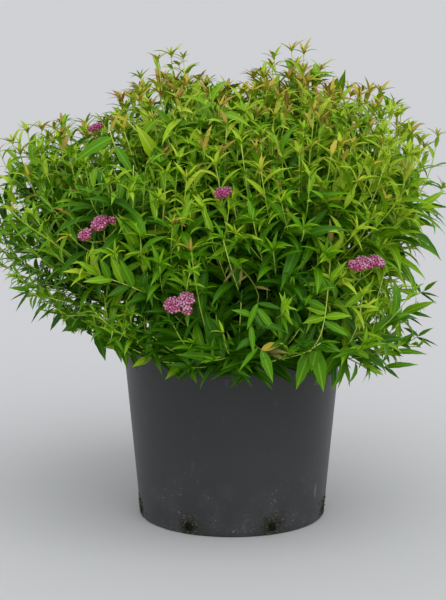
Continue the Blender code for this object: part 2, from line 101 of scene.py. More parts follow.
def new_material(name, colour, roughness, **sockets):
    """A Principled material with plain values, and its node tree and shader to build on."""
    material = bpy.data.materials.new(name)
    material.use_nodes = True
    shader = material.node_tree.nodes["Principled BSDF"]
    shader.inputs["Base Color"].default_value = linear(colour)
    shader.inputs["Roughness"].default_value = roughness
    for socket, value in sockets.items():
        shader.inputs[socket.replace("_", " ")].default_value = value
    return material, material.node_tree, shader


def new_piece(name, mesh, materials, nodes):
    """Puts a finished mesh in the scene as a piece that stands for some nodes of the frame."""
    mesh.name = name
    for place, material in enumerate(materials):
        if place < len(mesh.materials):
            mesh.materials[place] = material
        else:
            mesh.materials.append(material)
    mesh.shade_smooth()
    piece = bpy.data.objects.new(name, mesh)
    bpy.context.scene.collection.objects.link(piece)
    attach(piece, "root")
    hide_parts(*nodes)
    mesh.calc_loop_triangles()
    print(name, "triangles", len(mesh.loop_triangles), "stands for", len(nodes))
    return piece


def mesh_from(bm, name):
    """The mesh of a finished bmesh."""
    mesh = bpy.data.meshes.new(name)
    bm.to_mesh(mesh)
    bm.free()
    return mesh


# %% [markdown]
# ## Camera, floor and light
#
# The plant was seen from a little above, from far enough away that the pot's sides look nearly
# straight, so the lens is long. The floor is one plain pale sheet. The light is what a tent of white
# cloth gives: even from all round, stronger from above and in front, and with no hard shadow. A pale
# world gives the even part, and one sun lamp that is as wide as a cloth scrim gives the rest.

# %% Camera
CAMERA_PLACE = (-0.0119, -2.8, 0.815)
CAMERA_PITCH = math.radians(10.75)
CAMERA_LENS_MM = 132.0
SENSOR_MM = 36.0

scene = bpy.context.scene
lens = bpy.data.cameras.new("camera")
lens.sensor_width = SENSOR_MM
lens.lens = CAMERA_LENS_MM
camera = bpy.data.objects.new("camera", lens)
camera.location = CAMERA_PLACE
camera.rotation_euler = (math.pi / 2 - CAMERA_PITCH, 0.0, 0.0)
scene.collection.objects.link(camera)
scene.camera = camera
scene.view_settings.view_transform = "Standard"
print("camera", CAMERA_PLACE, "lens", CAMERA_LENS_MM, "mm")

# %% Floor, world and lamps
FLOOR_HALF = 40.0
WORLD_COLOUR = "#E9EAEC"
WORLD_STRENGTH = 0.77
FLOOR_COLOUR = "#D7D8DA"
SCRIM_FROM = Vector((0.30, -1.00, 1.30))
SCRIM_STRENGTH = 1.15
SCRIM_ANGLE = math.radians(64.0)

floor_bm = bmesh.new()
bmesh.ops.create_grid(floor_bm, x_segments=1, y_segments=1, size=FLOOR_HALF)
floor = bpy.data.objects.new("floor", mesh_from(floor_bm, "floor"))
floor.data.materials.append(new_material("matt_paper_floor", FLOOR_COLOUR, 0.9)[0])
scene.collection.objects.link(floor)

world = bpy.data.worlds.new("white_tent")
world.use_nodes = True
background = world.node_tree.nodes["Background"]
background.inputs["Color"].default_value = linear(WORLD_COLOUR)
background.inputs["Strength"].default_value = WORLD_STRENGTH
scene.world = world

scrim = bpy.data.lights.new("scrim", "SUN")
scrim.energy = SCRIM_STRENGTH
scrim.angle = SCRIM_ANGLE
scrim_lamp = bpy.data.objects.new("scrim", scrim)
scrim_lamp.location = SCRIM_FROM
scrim_lamp.rotation_mode = "QUATERNION"
scrim_lamp.rotation_quaternion = SCRIM_FROM.to_track_quat("Z", "Y")
scene.collection.objects.link(scrim_lamp)
print("world", WORLD_STRENGTH, "scrim", SCRIM_STRENGTH)

# %% [markdown]
# ## The pot
#
# A nursery pot is injection moulded from dark recycled polypropylene: a thin tapered wall, a rolled
# rim, and drain holes round the foot. It could be kept as the frame has it, but that has few steps
# and would show flats in its shine, so the same profile is spun again in many steps, flaring a few
# millimetres more towards the rim. The wall gets rings close together at the foot, because the damp
# stain round each drain hole is painted on the rings' points.

# %% Pot sizes, from the frame
_, pot_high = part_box("pot")
mix_low, mix_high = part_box("potting_mix")
POT_HEIGHT = pot_high.z
RIM_PROUD = 0.0030
RIM_HEIGHT = 0.018
POT_FLARE = 0.0045
POT_TOP_RADIUS = pot_high.x - RIM_PROUD + POT_FLARE
POT_BASE_RADIUS = 0.1205
POT_WALL = 0.0024
POT_FLOOR = 0.0030
POT_EDGE = 0.0030
POT_STEPS = 144
ROLL_STEPS, EDGE_STEPS = 8, 4
WALL_SHARES = (0.8, 0.65, 0.5, 0.35)
DRAIN_HOLES = 7
DRILL_SIDES = 20
DRAIN_RADIUS = 0.0055
DRAIN_HEIGHT = 0.0110
DRAIN_FIRST = math.radians(-117.0)
DRAIN_BEARINGS = [DRAIN_FIRST + number * math.tau / DRAIN_HOLES for number in range(DRAIN_HOLES)]
FOOT_RINGS = 9
FOOT_RING_STEP = 0.006
STAIN_REACH = 0.020
print("pot height", round(POT_HEIGHT, 4), "rim radius", round(pot_high.x, 4))


# %% Spin the pot's profile
def wall_radius(height):
    """Outer radius of the pot's plain wall at a height."""
    return POT_BASE_RADIUS + (POT_TOP_RADIUS - POT_BASE_RADIUS) * height / POT_HEIGHT


def heading_of(bearing, rise):
    """The direction with a compass bearing and an angle above the horizon."""
    flat = math.cos(rise)
    return Vector((math.cos(bearing) * flat, math.sin(bearing) * flat, math.sin(rise)))


def spun(profile, steps):
    """A profile of (radius, height) points spun a full turn, with its poles and seam closed."""
    bm = bmesh.new()
    verts = [bm.verts.new((radius, 0.0, height)) for radius, height in profile]
    edges = [bm.edges.new(pair) for pair in zip(verts, verts[1:])]
    bmesh.ops.spin(
        bm, geom=verts + edges, cent=(0, 0, 0), axis=(0, 0, 1), angle=math.tau, steps=steps,
        use_merge=True,
    )
    bmesh.ops.remove_doubles(bm, verts=bm.verts, dist=TINY)
    bmesh.ops.recalc_face_normals(bm, faces=bm.faces)
    return bm


def pot_profile():
    """Up the inside from the middle of the floor, over the rolled rim, and down to the underside."""
    rim_foot = POT_HEIGHT - RIM_HEIGHT
    rim_radius = POT_TOP_RADIUS + RIM_PROUD
    inside_top = POT_TOP_RADIUS - POT_WALL
    roll = (rim_radius - inside_top) / 2
    arc = [math.pi * step / ROLL_STEPS for step in range(ROLL_STEPS + 1)]
    rim = [
        (inside_top + roll - roll * math.cos(turn), POT_HEIGHT - roll + roll * math.sin(turn))
        for turn in arc
    ]
    inside = [(0.0, POT_FLOOR), (wall_radius(POT_FLOOR) - POT_WALL, POT_FLOOR)]
    lip = [(rim_radius - RIM_PROUD / 4, rim_foot), (wall_radius(rim_foot), rim_foot - RIM_PROUD / 2)]
    heights = [POT_HEIGHT * share for share in WALL_SHARES]
    heights += [POT_EDGE + FOOT_RING_STEP * ring for ring in reversed(range(FOOT_RINGS))]
    wall = [(wall_radius(height), height) for height in heights]
    edge = [
        (POT_BASE_RADIUS - POT_EDGE + POT_EDGE * math.cos(turn), POT_EDGE - POT_EDGE * math.sin(turn))
        for turn in [math.pi / 2 * step / EDGE_STEPS for step in range(1, EDGE_STEPS + 1)]
    ]
    return inside + rim + lip + wall + edge + [(0.0, 0.0)]


pot_blank = bpy.data.objects.new("pot_blank", mesh_from(spun(pot_profile(), POT_STEPS), "pot_blank"))
scene.collection.objects.link(pot_blank)
print("pot rings", len(pot_profile()))

# %% Pierce the drain holes
drill_bm = bmesh.new()
for bearing in DRAIN_BEARINGS:
    outward = heading_of(bearing, 0.0)
    middle = outward * (wall_radius(DRAIN_HEIGHT) - POT_WALL / 2) + UP * DRAIN_HEIGHT
    turned = Matrix.Translation(middle) @ outward.to_track_quat("Z", "Y").to_matrix().to_4x4()
    bmesh.ops.create_cone(
        drill_bm, cap_ends=True, segments=DRILL_SIDES, radius1=DRAIN_RADIUS, radius2=DRAIN_RADIUS,
        depth=POT_WALL * 6, matrix=turned,
    )
drill = bpy.data.objects.new("drill", mesh_from(drill_bm, "drill"))
scene.collection.objects.link(drill)
pierce = pot_blank.modifiers.new("pierce", "BOOLEAN")
pierce.object = drill
pierce.solver = "EXACT"
bpy.context.view_layer.update()
graph = bpy.context.evaluated_depsgraph_get()
pot_mesh = bpy.data.meshes.new_from_object(pot_blank.evaluated_get(graph))
for spare in (pot_blank, drill):
    bpy.data.objects.remove(spare, do_unlink=True)

stain = pot_mesh.attributes.new("stain", "FLOAT", "POINT")
drain_places = [
    heading_of(bearing, 0.0) * wall_radius(DRAIN_HEIGHT) + UP * DRAIN_HEIGHT
    for bearing in DRAIN_BEARINGS
]
for vertex in pot_mesh.vertices:
    nearest = min((vertex.co - place).length for place in drain_places)
    stain.data[vertex.index].value = max(0.0, 1.0 - nearest / STAIN_REACH)
print("drain holes", len(drain_places))

# %% [markdown]
# ### Moulded polypropylene
#
# Recycled polypropylene comes out of its mould dark neutral grey with a satin skin, a little cloudy
# where the flow lines met. Use adds splashes on the lower half, a few upright scuffs from neighbouring
# pots, one pale scrape, and a dark green stain where water leaves the drain holes. The wall is also
# painted a little paler towards its foot. Polypropylene's IOR is 1.49. The cloud is 110 mm wide. The
# splashes are 3 mm, and the moulded grain 0.9 mm, coarser than the real ones, which are too fine to
# show.

# %% Pot material
POT_DARK, POT_PALE = "#232424", "#303131"
DUST_COLOUR, STAIN_COLOUR = "#939598", "#1B1D10"
PATTERN_MM = {"cloud": 110.0, "film": 30.0, "splash": 3.0, "blotch": 4.0, "grain": 0.9, "scuff": 16.0}
PATTERN_DETAIL = {"cloud": 5.0, "film": 6.0, "splash": 2.0, "blotch": 5.0, "grain": 1.0, "scuff": 3.0}
SCUFF_STRETCH = (1.0, 1.0, 0.30)
# The wall is painted a little paler towards its foot, fading out at this height, and by this much.
PALING_TOP, PALING_STRENGTH = 0.210, 0.045
DUST_TOP = 0.115
STAIN_CUT, STAIN_FULL = 0.05, 0.28
SCRAPE_PLACE = (0.1056, -0.0640, 0.0470)
SCRAPE_SIZE = (0.0030, 0.0030, 0.0105)

pot_material, tree, shader = new_material("moulded_polypropylene", POT_DARK, 0.42, IOR=1.49)
place = add_node(tree, "ShaderNodeTexCoord").outputs["Object"]
height = add_node(tree, "ShaderNodeSeparateXYZ", {"Vector": place}).outputs["Z"]
upright = add_node(tree, "ShaderNodeMapping", {"Vector": place, "Scale": SCUFF_STRETCH}).outputs["Vector"]
patterns = {}
for name, wide_mm in PATTERN_MM.items():
    at = upright if name == "scuff" else place
    inputs = {"Vector": at, "Scale": 1000 / wide_mm, "Detail": PATTERN_DETAIL[name]}
    patterns[name] = add_node(tree, "ShaderNodeTexNoise", inputs).outputs["Fac"]
scrape_at = add_node(
    tree, "ShaderNodeMapping", {"Vector": place, "Location": SCRAPE_PLACE, "Scale": SCRAPE_SIZE},
    vector_type="TEXTURE",
)
scrape_far = add_node(
    tree, "ShaderNodeVectorMath", {0: scrape_at.outputs["Vector"]}, operation="LENGTH",
).outputs["Value"]
print("pot patterns", sorted(patterns))

# %% Dust, scuffs and stains
RANGES = {
    "low_down": (height, DUST_TOP, 0.0, 0.0, 1.0),
    "specks": (patterns["splash"], 0.62, 0.80, 0.0, 0.9),
    "clustered": (patterns["film"], 0.44, 0.60, 0.0, 1.0),
    # Paler towards the foot: nothing at the top height, full at the foot.
    "even_film": (height, PALING_TOP, 0.0, 0.0, PALING_STRENGTH),
    "scuffs": (patterns["scuff"], 0.66, 0.84, 0.0, 0.16),
    "scrape": (scrape_far, 0.1, 1.3, 0.5, 0.0),
    "satin": (patterns["cloud"], 0.0, 1.0, 0.36, 0.52),
}
ranged = {}
for name, (value, low, high, at_low, at_high) in RANGES.items():
    limits = {"Value": value, "From Min": low, "From Max": high, "To Min": at_low, "To Max": at_high}
    ranged[name] = add_node(tree, "ShaderNodeMapRange", limits).outputs["Result"]
damp = add_node(tree, "ShaderNodeAttribute", attribute_name="stain").outputs["Fac"]
SUMS = (
    ("near_foot", "MULTIPLY", ("low_down", "clustered")),
    ("dusty", "MULTIPLY", ("specks", "near_foot")),
    # The dust clusters near the foot, plus the wall painted paler towards its foot.
    ("film", "MULTIPLY_ADD", ("near_foot", PALING_STRENGTH, "even_film")),
    ("marks", "MAXIMUM", ("scrape", "scuffs")),
    ("worn", "MAXIMUM", ("dusty", "marks")),
    # Dust, scuffs and the scrape, with the paler foot.
    ("veiled", "ADD", ("worn", "film")),
    ("stained", "MULTIPLY_ADD", (damp, patterns["blotch"], -STAIN_CUT)),
)
for name, operation, terms in SUMS:
    inputs = {number: ranged[term] if isinstance(term, str) else term for number, term in enumerate(terms)}
    is_share = name in ("worn", "veiled")
    node = add_node(tree, "ShaderNodeMath", inputs, operation=operation, use_clamp=is_share)
    ranged[name] = node.outputs["Value"]
patchy = add_node(tree, "ShaderNodeMapRange", {"Value": ranged["stained"], "From Max": STAIN_FULL})
print("patterns", len(patterns), "ranges", len(RANGES), "sums", len(SUMS))

# %% Paint the pot
colour = linear(POT_DARK)
LAYERS = (
    (patterns["cloud"], POT_PALE), (ranged["veiled"], DUST_COLOUR), (patchy.outputs["Result"], STAIN_COLOUR),
)
for share, layer in LAYERS:
    inputs = {"Factor": share, 6: colour, 7: linear(layer)}
    colour = add_node(tree, "ShaderNodeMix", inputs, data_type="RGBA").outputs[2]
tree.links.new(colour, shader.inputs["Base Color"])
tree.links.new(ranged["satin"], shader.inputs["Roughness"])
bump = add_node(
    tree, "ShaderNodeBump", {"Height": patterns["grain"], "Strength": 0.12, "Distance": 0.0003},
)
tree.links.new(bump.outputs["Normal"], shader.inputs["Normal"])

pot = new_piece("pot_shell", pot_mesh, [pot_material], ["pot"])
pot.data.set_sharp_from_angle(angle=math.radians(40.0))

# %% [markdown]
# ### Moss at the drain holes
#
# Roots, dirt and moss grow out where water leaves a pot. Each hole gets a ragged tuft: short thin
# cones that point every way off the wall, and round crumbs of dirt between them. One blank of each is
# copied many times, joined as a single mesh.

# %% Moss blanks and colours
def blank_from(parts):
    """Points, faces and part numbers of some bmeshes, joined as one blank."""
    points, faces, numbers = [], [], []
    for part_number, bm in parts:
        bm.verts.index_update()
        base = len(points)
        points.extend(tuple(vertex.co) for vertex in bm.verts)
        faces.extend([base + vertex.index for vertex in face.verts] for face in bm.faces)
        numbers.extend([part_number] * len(bm.faces))
        bm.free()
    return np.array(points), faces, np.array(numbers)


BLADE_SIDES, BLADE_FOOT, BLADE_POINT = 3, 0.13, 0.02
MOSS_TINTS = {
    "dark": "#1A1E0C", "olive": "#2C3014", "pale": "#4E4E30", "dirt": "#1E1811", "straw": "#77766A",
}

blade_bm, crumb_bm = bmesh.new(), bmesh.new()
bmesh.ops.create_cone(
    blade_bm, cap_ends=True, segments=BLADE_SIDES, radius1=BLADE_FOOT, radius2=BLADE_POINT, depth=1.0,
)
bmesh.ops.create_icosphere(crumb_bm, subdivisions=1, radius=0.5)
moss_blanks = [blank_from([(0, blade_bm)]), blank_from([(0, crumb_bm)])]
moss_materials = [new_material(f"moss_{tint}", colour, 0.95)[0] for tint, colour in MOSS_TINTS.items()]
moss_slots = {tint: number for number, tint in enumerate(MOSS_TINTS)}
print("blade faces", len(moss_blanks[0][1]), "crumb faces", len(moss_blanks[1][1]))

# %% Joined copies
def joined(name, blanks, places, slots):
    """One mesh of all placed copies. slots gives the first material number of a tint."""
    points, faces, material_numbers = [], [], []
    offset = 0
    for number, (blank_points, blank_faces, parts) in enumerate(blanks):
        placed = [(tint, placing) for blank, tint, placing in places if blank == number]
        if not placed:
            continue
        matrices = np.array([placing for _, placing in placed])
        turned = np.einsum("nij,kj->nki", matrices[:, :3, :3], blank_points)
        turned += matrices[:, None, :3, 3]
        points.append(turned.reshape(-1, 3))
        for place, (tint, _) in enumerate(placed):
            base = offset + place * len(blank_points)
            faces.extend([base + corner for corner in face] for face in blank_faces)
            material_numbers.append(slots[tint] + parts)
        offset += len(placed) * len(blank_points)
    mesh = bpy.data.meshes.new(name)
    mesh.from_pydata(np.concatenate(points).tolist(), [], faces)
    mesh.polygons.foreach_set("material_index", np.concatenate(material_numbers).astype(np.int32))
    mesh.update()
    return mesh

# %% Moss tufts
TUFT_BLADES, TUFT_CRUMBS = 210, 160
TUFT_FULLNESS = (0.7, 1.0)
TUFT_SPREAD = 0.0090
TUFT_RISES = (-0.6, 1.0, 1.0, 1.3)
TUFT_CORE = 0.0060
TUFT_LOWEST, TUFT_HIGHEST = 0.0025, 0.030
BLADE_SIZES, CRUMB_SIZES = (0.0020, 0.0048), (0.0006, 0.0020)
OFF_WALL = 0.7
CORE_DRAWS = ("dark", "dark", "dirt", "olive")
OUTER_DRAWS = ("dark", "olive", "olive", "pale", "pale", "straw")

moss_random = random.Random(9)
moss_places = []
for bearing in DRAIN_BEARINGS:
    fullness = moss_random.uniform(*TUFT_FULLNESS)
    for number in range(round((TUFT_BLADES + TUFT_CRUMBS) * fullness)):
        is_crumb = number < TUFT_CRUMBS
        beside = moss_random.gauss(0.0, TUFT_SPREAD)
        above = abs(moss_random.gauss(0.0, TUFT_SPREAD)) * moss_random.choice(TUFT_RISES)
        up_wall = min(max(DRAIN_HEIGHT + above, TUFT_LOWEST), TUFT_HIGHEST)
        outward = heading_of(bearing + beside / POT_BASE_RADIUS, 0.0)
        at = outward * wall_radius(up_wall) + UP * up_wall
        size = moss_random.uniform(*(CRUMB_SIZES if is_crumb else BLADE_SIZES))
        ragged = Vector([moss_random.uniform(-1.0, 1.0) for _ in range(3)])
        leaning = (outward * OFF_WALL + ragged).normalized()
        turned = leaning.to_track_quat("Z", "Y").to_matrix().to_4x4()
        placing = Matrix.Translation(at) @ turned @ Matrix.Diagonal((size, size, size, 1.0))
        is_core = math.hypot(beside, above) < TUFT_CORE
        tint = moss_random.choice(CORE_DRAWS if is_core else OUTER_DRAWS)
        moss_places.append((int(is_crumb), tint, placing))
moss = joined("moss_tufts", moss_blanks, moss_places, moss_slots)
new_piece("moss_tufts", moss, moss_materials, ["pot"])

# %% [markdown]
# ## The potting mix
#
# The pot is filled with a dark peat and bark mix, a little below the rim. Its plug is spun with
# rings close together on top, which noise then lowers by up to a few millimetres. It stays within
# the frame's plug in height, and follows the pot's wall in width. Flat crumbs of bark lie on it.

# %% Potting mix
MIX_RINGS = 26
MIX_STEPS = 96
MIX_RELIEF = 0.0060
MIX_LUMP_MM, FIBRE_MM = 14.0, 3.0
MIX_FRACTAL = (0.8, 2.0, 4)
PEAT_DARK, PEAT_PALE = "#150F0B", "#3B2B1D"
CRUMBS = 420
CRUMB_SPREAD, CRUMB_DEPTH = 0.95, 0.0026
CRUMB_RADII, CRUMB_WIDTHS, CRUMB_HEIGHTS = (0.0014, 0.0034), (0.4, 1.0), (0.3, 0.7)

soil_level = mix_high.z
soil_radius = mix_high.x + POT_FLARE * soil_level / POT_HEIGHT
foot_level = mix_low.z
foot_radius = wall_radius(foot_level) - (wall_radius(soil_level) - soil_radius)
mix_profile = [(soil_radius * ring / MIX_RINGS, soil_level) for ring in range(MIX_RINGS + 1)]
mix_profile += [(foot_radius, foot_level), (0.0, foot_level)]
mix_bm = spun(mix_profile, MIX_STEPS)
for vertex in mix_bm.verts:
    if vertex.co.z > soil_level - TINY:
        hummock = noise.fractal(vertex.co * (1000 / MIX_LUMP_MM), *MIX_FRACTAL)
        vertex.co.z -= MIX_RELIEF * min(1.0, max(0.0, 0.5 + hummock / 2))

crumb_random = random.Random(3)
for _ in range(CRUMBS):
    spot = heading_of(crumb_random.uniform(0.0, math.tau), 0.0)
    spot *= soil_radius * CRUMB_SPREAD * math.sqrt(crumb_random.random())
    spot.z = soil_level - CRUMB_DEPTH
    size = crumb_random.uniform(*CRUMB_RADII)
    sides = (1.0, crumb_random.uniform(*CRUMB_WIDTHS), crumb_random.uniform(*CRUMB_HEIGHTS), 1.0)
    flat = Matrix.Diagonal(sides)
    turned = Matrix.Translation(spot) @ Matrix.Rotation(crumb_random.uniform(0, math.tau), 4, "Z")
    bmesh.ops.create_icosphere(mix_bm, subdivisions=1, radius=size, matrix=turned @ flat)

mix_material, tree, shader = new_material("peat_and_bark_mix", "#241A12", 0.95)
place = add_node(tree, "ShaderNodeTexCoord").outputs["Object"]
fibre = add_node(tree, "ShaderNodeTexNoise", {"Vector": place, "Scale": 1000 / FIBRE_MM, "Detail": 4.0})
mix_colour = add_node(
    tree, "ShaderNodeMix",
    {"Factor": fibre.outputs["Fac"], 6: linear(PEAT_DARK), 7: linear(PEAT_PALE)}, data_type="RGBA",
)
tree.links.new(mix_colour.outputs[2], shader.inputs["Base Color"])
rough = add_node(
    tree, "ShaderNodeBump", {"Height": fibre.outputs["Fac"], "Strength": 0.6, "Distance": 0.001},
)
tree.links.new(rough.outputs["Normal"], shader.inputs["Normal"])
new_piece("peat_mix", mesh_from(mix_bm, "peat_mix"), [mix_material], ["potting_mix"])

# %% [markdown]
# ## The growth rule
#
# The shrub grows as the real one does. Canes fan out from a short woody stool, and each ends in one
# mass of foliage. A mass has a stem that goes on from its cane, and shoots leave the stem low enough
# to part from it at their own angle and bend outwards to their places near the crown's outline. The
# outline is a squarish dome, more pointed on its left than on its right. The rule and its sizes are
# those of the construction, so the shoots keep to the same reach, but for a few that stand out.

# %% Crown outline
FIT_GAP = 0.0003
STOOL_RADIUS = 0.030
STOOL_HEIGHT = 0.036
STOOL_MIDDLE = Vector((0.0, 0.0, soil_level + FIT_GAP + STOOL_HEIGHT - STOOL_RADIUS))
CROWN_CENTRE = Vector((-0.018, 0.0, 0.357))
CROWN_HALF_WIDTH = 0.292
CROWN_HALF_DEPTH = 0.280
CROWN_RISE = 0.226
CROWN_DROP = 0.178
CROWN_SQUARENESS = 2.35
CROWN_LEAN = 0.50
OUTLINE_STEPS = 22


def outline_value(point):
    """Under 1 inside the crown's outline, over 1 outside it."""
    offset = point - CROWN_CENTRE
    rise = CROWN_RISE if offset.z > 0.0 else CROWN_DROP
    halves = (CROWN_HALF_WIDTH, CROWN_HALF_DEPTH, rise)
    squareness = CROWN_SQUARENESS + CROWN_LEAN * offset.x / max(math.hypot(offset.x, offset.y), TINY)
    return sum(abs(offset[axis] / halves[axis]) ** squareness for axis in range(3))


def outline_distance(start, step):
    """How far the crown's outline lies from a start inside it, counted in steps."""
    near, far = 0.0, 1.0
    for _ in range(OUTLINE_STEPS):
        middle = (near + far) / 2
        if outline_value(start + step * middle) < 1.0:
            near = middle
        else:
            far = middle
    return near


def reach(heading):
    """How far the crown's outline lies from the stool along a heading."""
    return outline_distance(STOOL_MIDDLE, heading)


print("reach to the front", round(reach(heading_of(-math.pi / 2, 0.0)), 4), "up", round(reach(UP), 4))

# %% Canes and stems
TIERS = {
    "skirt": {"count": 8, "first": -90.0, "rise": 13.0, "start": 27.0, "foot": 0.0045},
    "shoulder": {"count": 6, "first": -68.0, "rise": 43.0, "start": 53.0, "foot": 0.0048},
    "top": {"count": 3, "first": 12.0, "rise": 75.0, "start": 77.0, "foot": 0.0042},
}
CANE_TIP_RADIUS = 0.0031
CANE_POINTS = 5
CANE_SHARE = 0.46
CANE_LIFT = 0.45
STEM_SHARE = 0.80
LEADER_SHARES = {"top_1": 0.96, "top_2": 0.93}
STEM_POINTS = 4
STEM_SWEEP = 0.4
BOUGH_POINTS = 16


def bowed(start, control, end, count):
    """Points along a curve that leaves start towards control and arrives at end."""
    shares = [step / (count - 1) for step in range(count)]
    return [
        start * (1 - share) ** 2 + control * (2 * share * (1 - share)) + end * share ** 2
        for share in shares
    ]


def path_length(path):
    """Length along a path of points."""
    return sum((after - before).length for before, after in zip(path, path[1:]))


def evenly(path, count):
    """The same path with its points evenly spaced along it."""
    gap = path_length(path) / (count - 1)
    spaced, walked = [path[0]], 0.0
    for before, after in zip(path, path[1:]):
        step = (after - before).length
        while len(spaced) < count - 1 and len(spaced) * gap <= walked + step:
            spaced.append(before.lerp(after, (len(spaced) * gap - walked) / step))
        walked += step
    return spaced + [path[-1]]


masses = {}
for tier, sizes in TIERS.items():
    for number in range(sizes["count"]):
        bearing = math.radians(sizes["first"] + number * 360.0 / sizes["count"])
        name = f"{tier}_{number + 1}"
        heading = heading_of(bearing, math.radians(sizes["rise"]))
        leaving = heading_of(bearing, math.radians(sizes["start"]))
        foot = STOOL_MIDDLE + leaving * (STOOL_RADIUS + FIT_GAP)
        tip = STOOL_MIDDLE + heading * (reach(heading) * CANE_SHARE)
        bow = foot + leaving * ((tip - foot).length * CANE_LIFT)
        cane = bowed(foot, bow, tip, CANE_POINTS)
        onward = (cane[-1] - cane[-2]).normalized()
        stem_foot = tip + onward * FIT_GAP
        stem_tip = STOOL_MIDDLE + heading * (reach(heading) * LEADER_SHARES.get(name, STEM_SHARE))
        stem_bow = stem_foot + onward * ((stem_tip - stem_foot).length * STEM_SWEEP)
        stem = bowed(stem_foot, stem_bow, stem_tip, STEM_POINTS)
        masses[name] = {
            "heading": heading,
            "foot_radius": sizes["foot"],
            "cane": (foot, bow, tip),
            "stem": evenly(stem, BOUGH_POINTS),
            "bough": evenly(bowed(foot, bow, tip, CANE_POINTS) + stem[1:], BOUGH_POINTS),
        }
print("masses", len(masses))

# %% [markdown]
# ## Stool and canes
#
# The foot of the shrub is a knobbly stool, cut back year after year, and the canes that spring from
# it are a few millimetres thick, with swollen joints and thin grey-brown bark that splits
# lengthwise. A curve with a bevel makes a tube that follows a path and tapers, and many tubes can be
# splines of one curve. The tubes are then made a mesh, and noise that is stretched along the cane
# raises the bark's ridges on it.

# %% Tubes along paths
def tubes(runs, resolution, materials):
    """One mesh of round tapering tubes. A run is (points, radii, material number)."""
    curve = bpy.data.curves.new("tubes", "CURVE")
    curve.dimensions = "3D"
    curve.bevel_depth = 1.0
    curve.bevel_resolution = resolution
    curve.use_fill_caps = True
    for material in materials:
        curve.materials.append(material)
    for points, radii, material_number in runs:
        spline = curve.splines.new("POLY")
        spline.points.add(len(points) - 1)
        spline.points.foreach_set("co", [part for point in points for part in (*point, 1.0)])
        spline.points.foreach_set("radius", radii)
        spline.material_index = material_number
    holder = bpy.data.objects.new("tubes", curve)
    scene.collection.objects.link(holder)
    bpy.context.view_layer.update()
    mesh = bpy.data.meshes.new_from_object(holder.evaluated_get(bpy.context.evaluated_depsgraph_get()))
    bpy.data.objects.remove(holder, do_unlink=True)
    bm = bmesh.new()
    bm.from_mesh(mesh)
    bmesh.ops.remove_doubles(bm, verts=bm.verts, dist=TINY)
    bmesh.ops.recalc_face_normals(bm, faces=bm.faces)
    bm.to_mesh(mesh)
    bm.free()
    return mesh


def tapered(foot_radius, tip_radius, count):
    """Radii that shrink evenly from a foot to a tip."""
    return [foot_radius + (tip_radius - foot_radius) * step / (count - 1) for step in range(count)]


print("a taper in three steps", tapered(1.0, 0.5, 3))

# %% Bark material
FLAKE_MM = 6.0
BARK_DARK, BARK_PALE = "#3B2A1E", "#8A6C50"

bark_material, tree, shader = new_material("split_grey_brown_bark", "#5E4633", 0.85)
place = add_node(tree, "ShaderNodeTexCoord").outputs["Object"]
flakes = add_node(tree, "ShaderNodeTexNoise", {"Vector": place, "Scale": 1000 / FLAKE_MM, "Detail": 6.0})
bark_colour = add_node(
    tree, "ShaderNodeMix",
    {"Factor": flakes.outputs["Fac"], 6: linear(BARK_DARK), 7: linear(BARK_PALE)}, data_type="RGBA",
)
tree.links.new(bark_colour.outputs[2], shader.inputs["Base Color"])
split = add_node(
    tree, "ShaderNodeBump", {"Height": flakes.outputs["Fac"], "Strength": 0.5, "Distance": 0.0006},
)
tree.links.new(split.outputs["Normal"], shader.inputs["Normal"])
print("bark", bark_material.name)

# %% Bark-covered canes
CANE_FINE_POINTS = 64
JOINT_EVERY = 7
JOINT_SWELL = 0.20
BARK_RIDGE = 0.00035
RIDGE_MM = 1.6
RIDGE_STRETCH = 0.25
CANE_ROUNDNESS = 4

cane_runs = []
for mass in masses.values():
    radii = tapered(mass["foot_radius"], CANE_TIP_RADIUS, CANE_FINE_POINTS)
    swollen = [
        radius * (1.0 + (JOINT_SWELL if step % JOINT_EVERY == 0 else 0.0))
        for step, radius in enumerate(radii)
    ]
    cane_runs.append((bowed(*mass["cane"], CANE_FINE_POINTS), swollen, 0))
cane_mesh = tubes(cane_runs, CANE_ROUNDNESS, [bark_material])
for vertex in cane_mesh.vertices:
    along = Vector((vertex.co.x, vertex.co.y, vertex.co.z * RIDGE_STRETCH)) * (1000 / RIDGE_MM)
    vertex.co -= vertex.normal * (BARK_RIDGE * (0.5 + noise.noise(along)))

new_piece("bark_canes", cane_mesh, [bark_material], [f"cane_{name}" for name in masses])

# %% Knobbly stool
STOOL_FLARE = 0.013
STOOL_RINGS = 20
STOOL_STEPS = 72
ROOT_LOBES = 5
LOBE_DEPTH = 0.10
KNOB_RELIEF = 0.0028
KNOB_MM = 11.0
KNOB_FRACTAL = (0.7, 2.0, 3)

ground = soil_level + FIT_GAP
lifts = [math.pi / 2 * (1 - ring / STOOL_RINGS) for ring in range(STOOL_RINGS + 1)]
stool_profile = [
    (STOOL_RADIUS * math.cos(lift), STOOL_MIDDLE.z + STOOL_RADIUS * math.sin(lift)) for lift in lifts
]
stool_profile += [(STOOL_RADIUS + STOOL_FLARE / 3, (STOOL_MIDDLE.z + ground) / 2)]
stool_profile += [(STOOL_RADIUS + STOOL_FLARE, ground), (0.0, ground)]
stool_bm = spun(stool_profile, STOOL_STEPS)
stool_bm.normal_update()
for vertex in stool_bm.verts:
    if vertex.co.z < ground + TINY:
        bearing = math.atan2(vertex.co.y, vertex.co.x)
        swell = 1.0 + LOBE_DEPTH * math.cos(ROOT_LOBES * bearing)
        vertex.co.x *= swell
        vertex.co.y *= swell
    else:
        knob = noise.fractal(vertex.co * (1000 / KNOB_MM), *KNOB_FRACTAL)
        vertex.co -= vertex.normal * (KNOB_RELIEF * min(1.0, max(0.0, 0.5 + knob)))
new_piece("bark_stool", mesh_from(stool_bm, "bark_stool"), [bark_material], ["stool"])

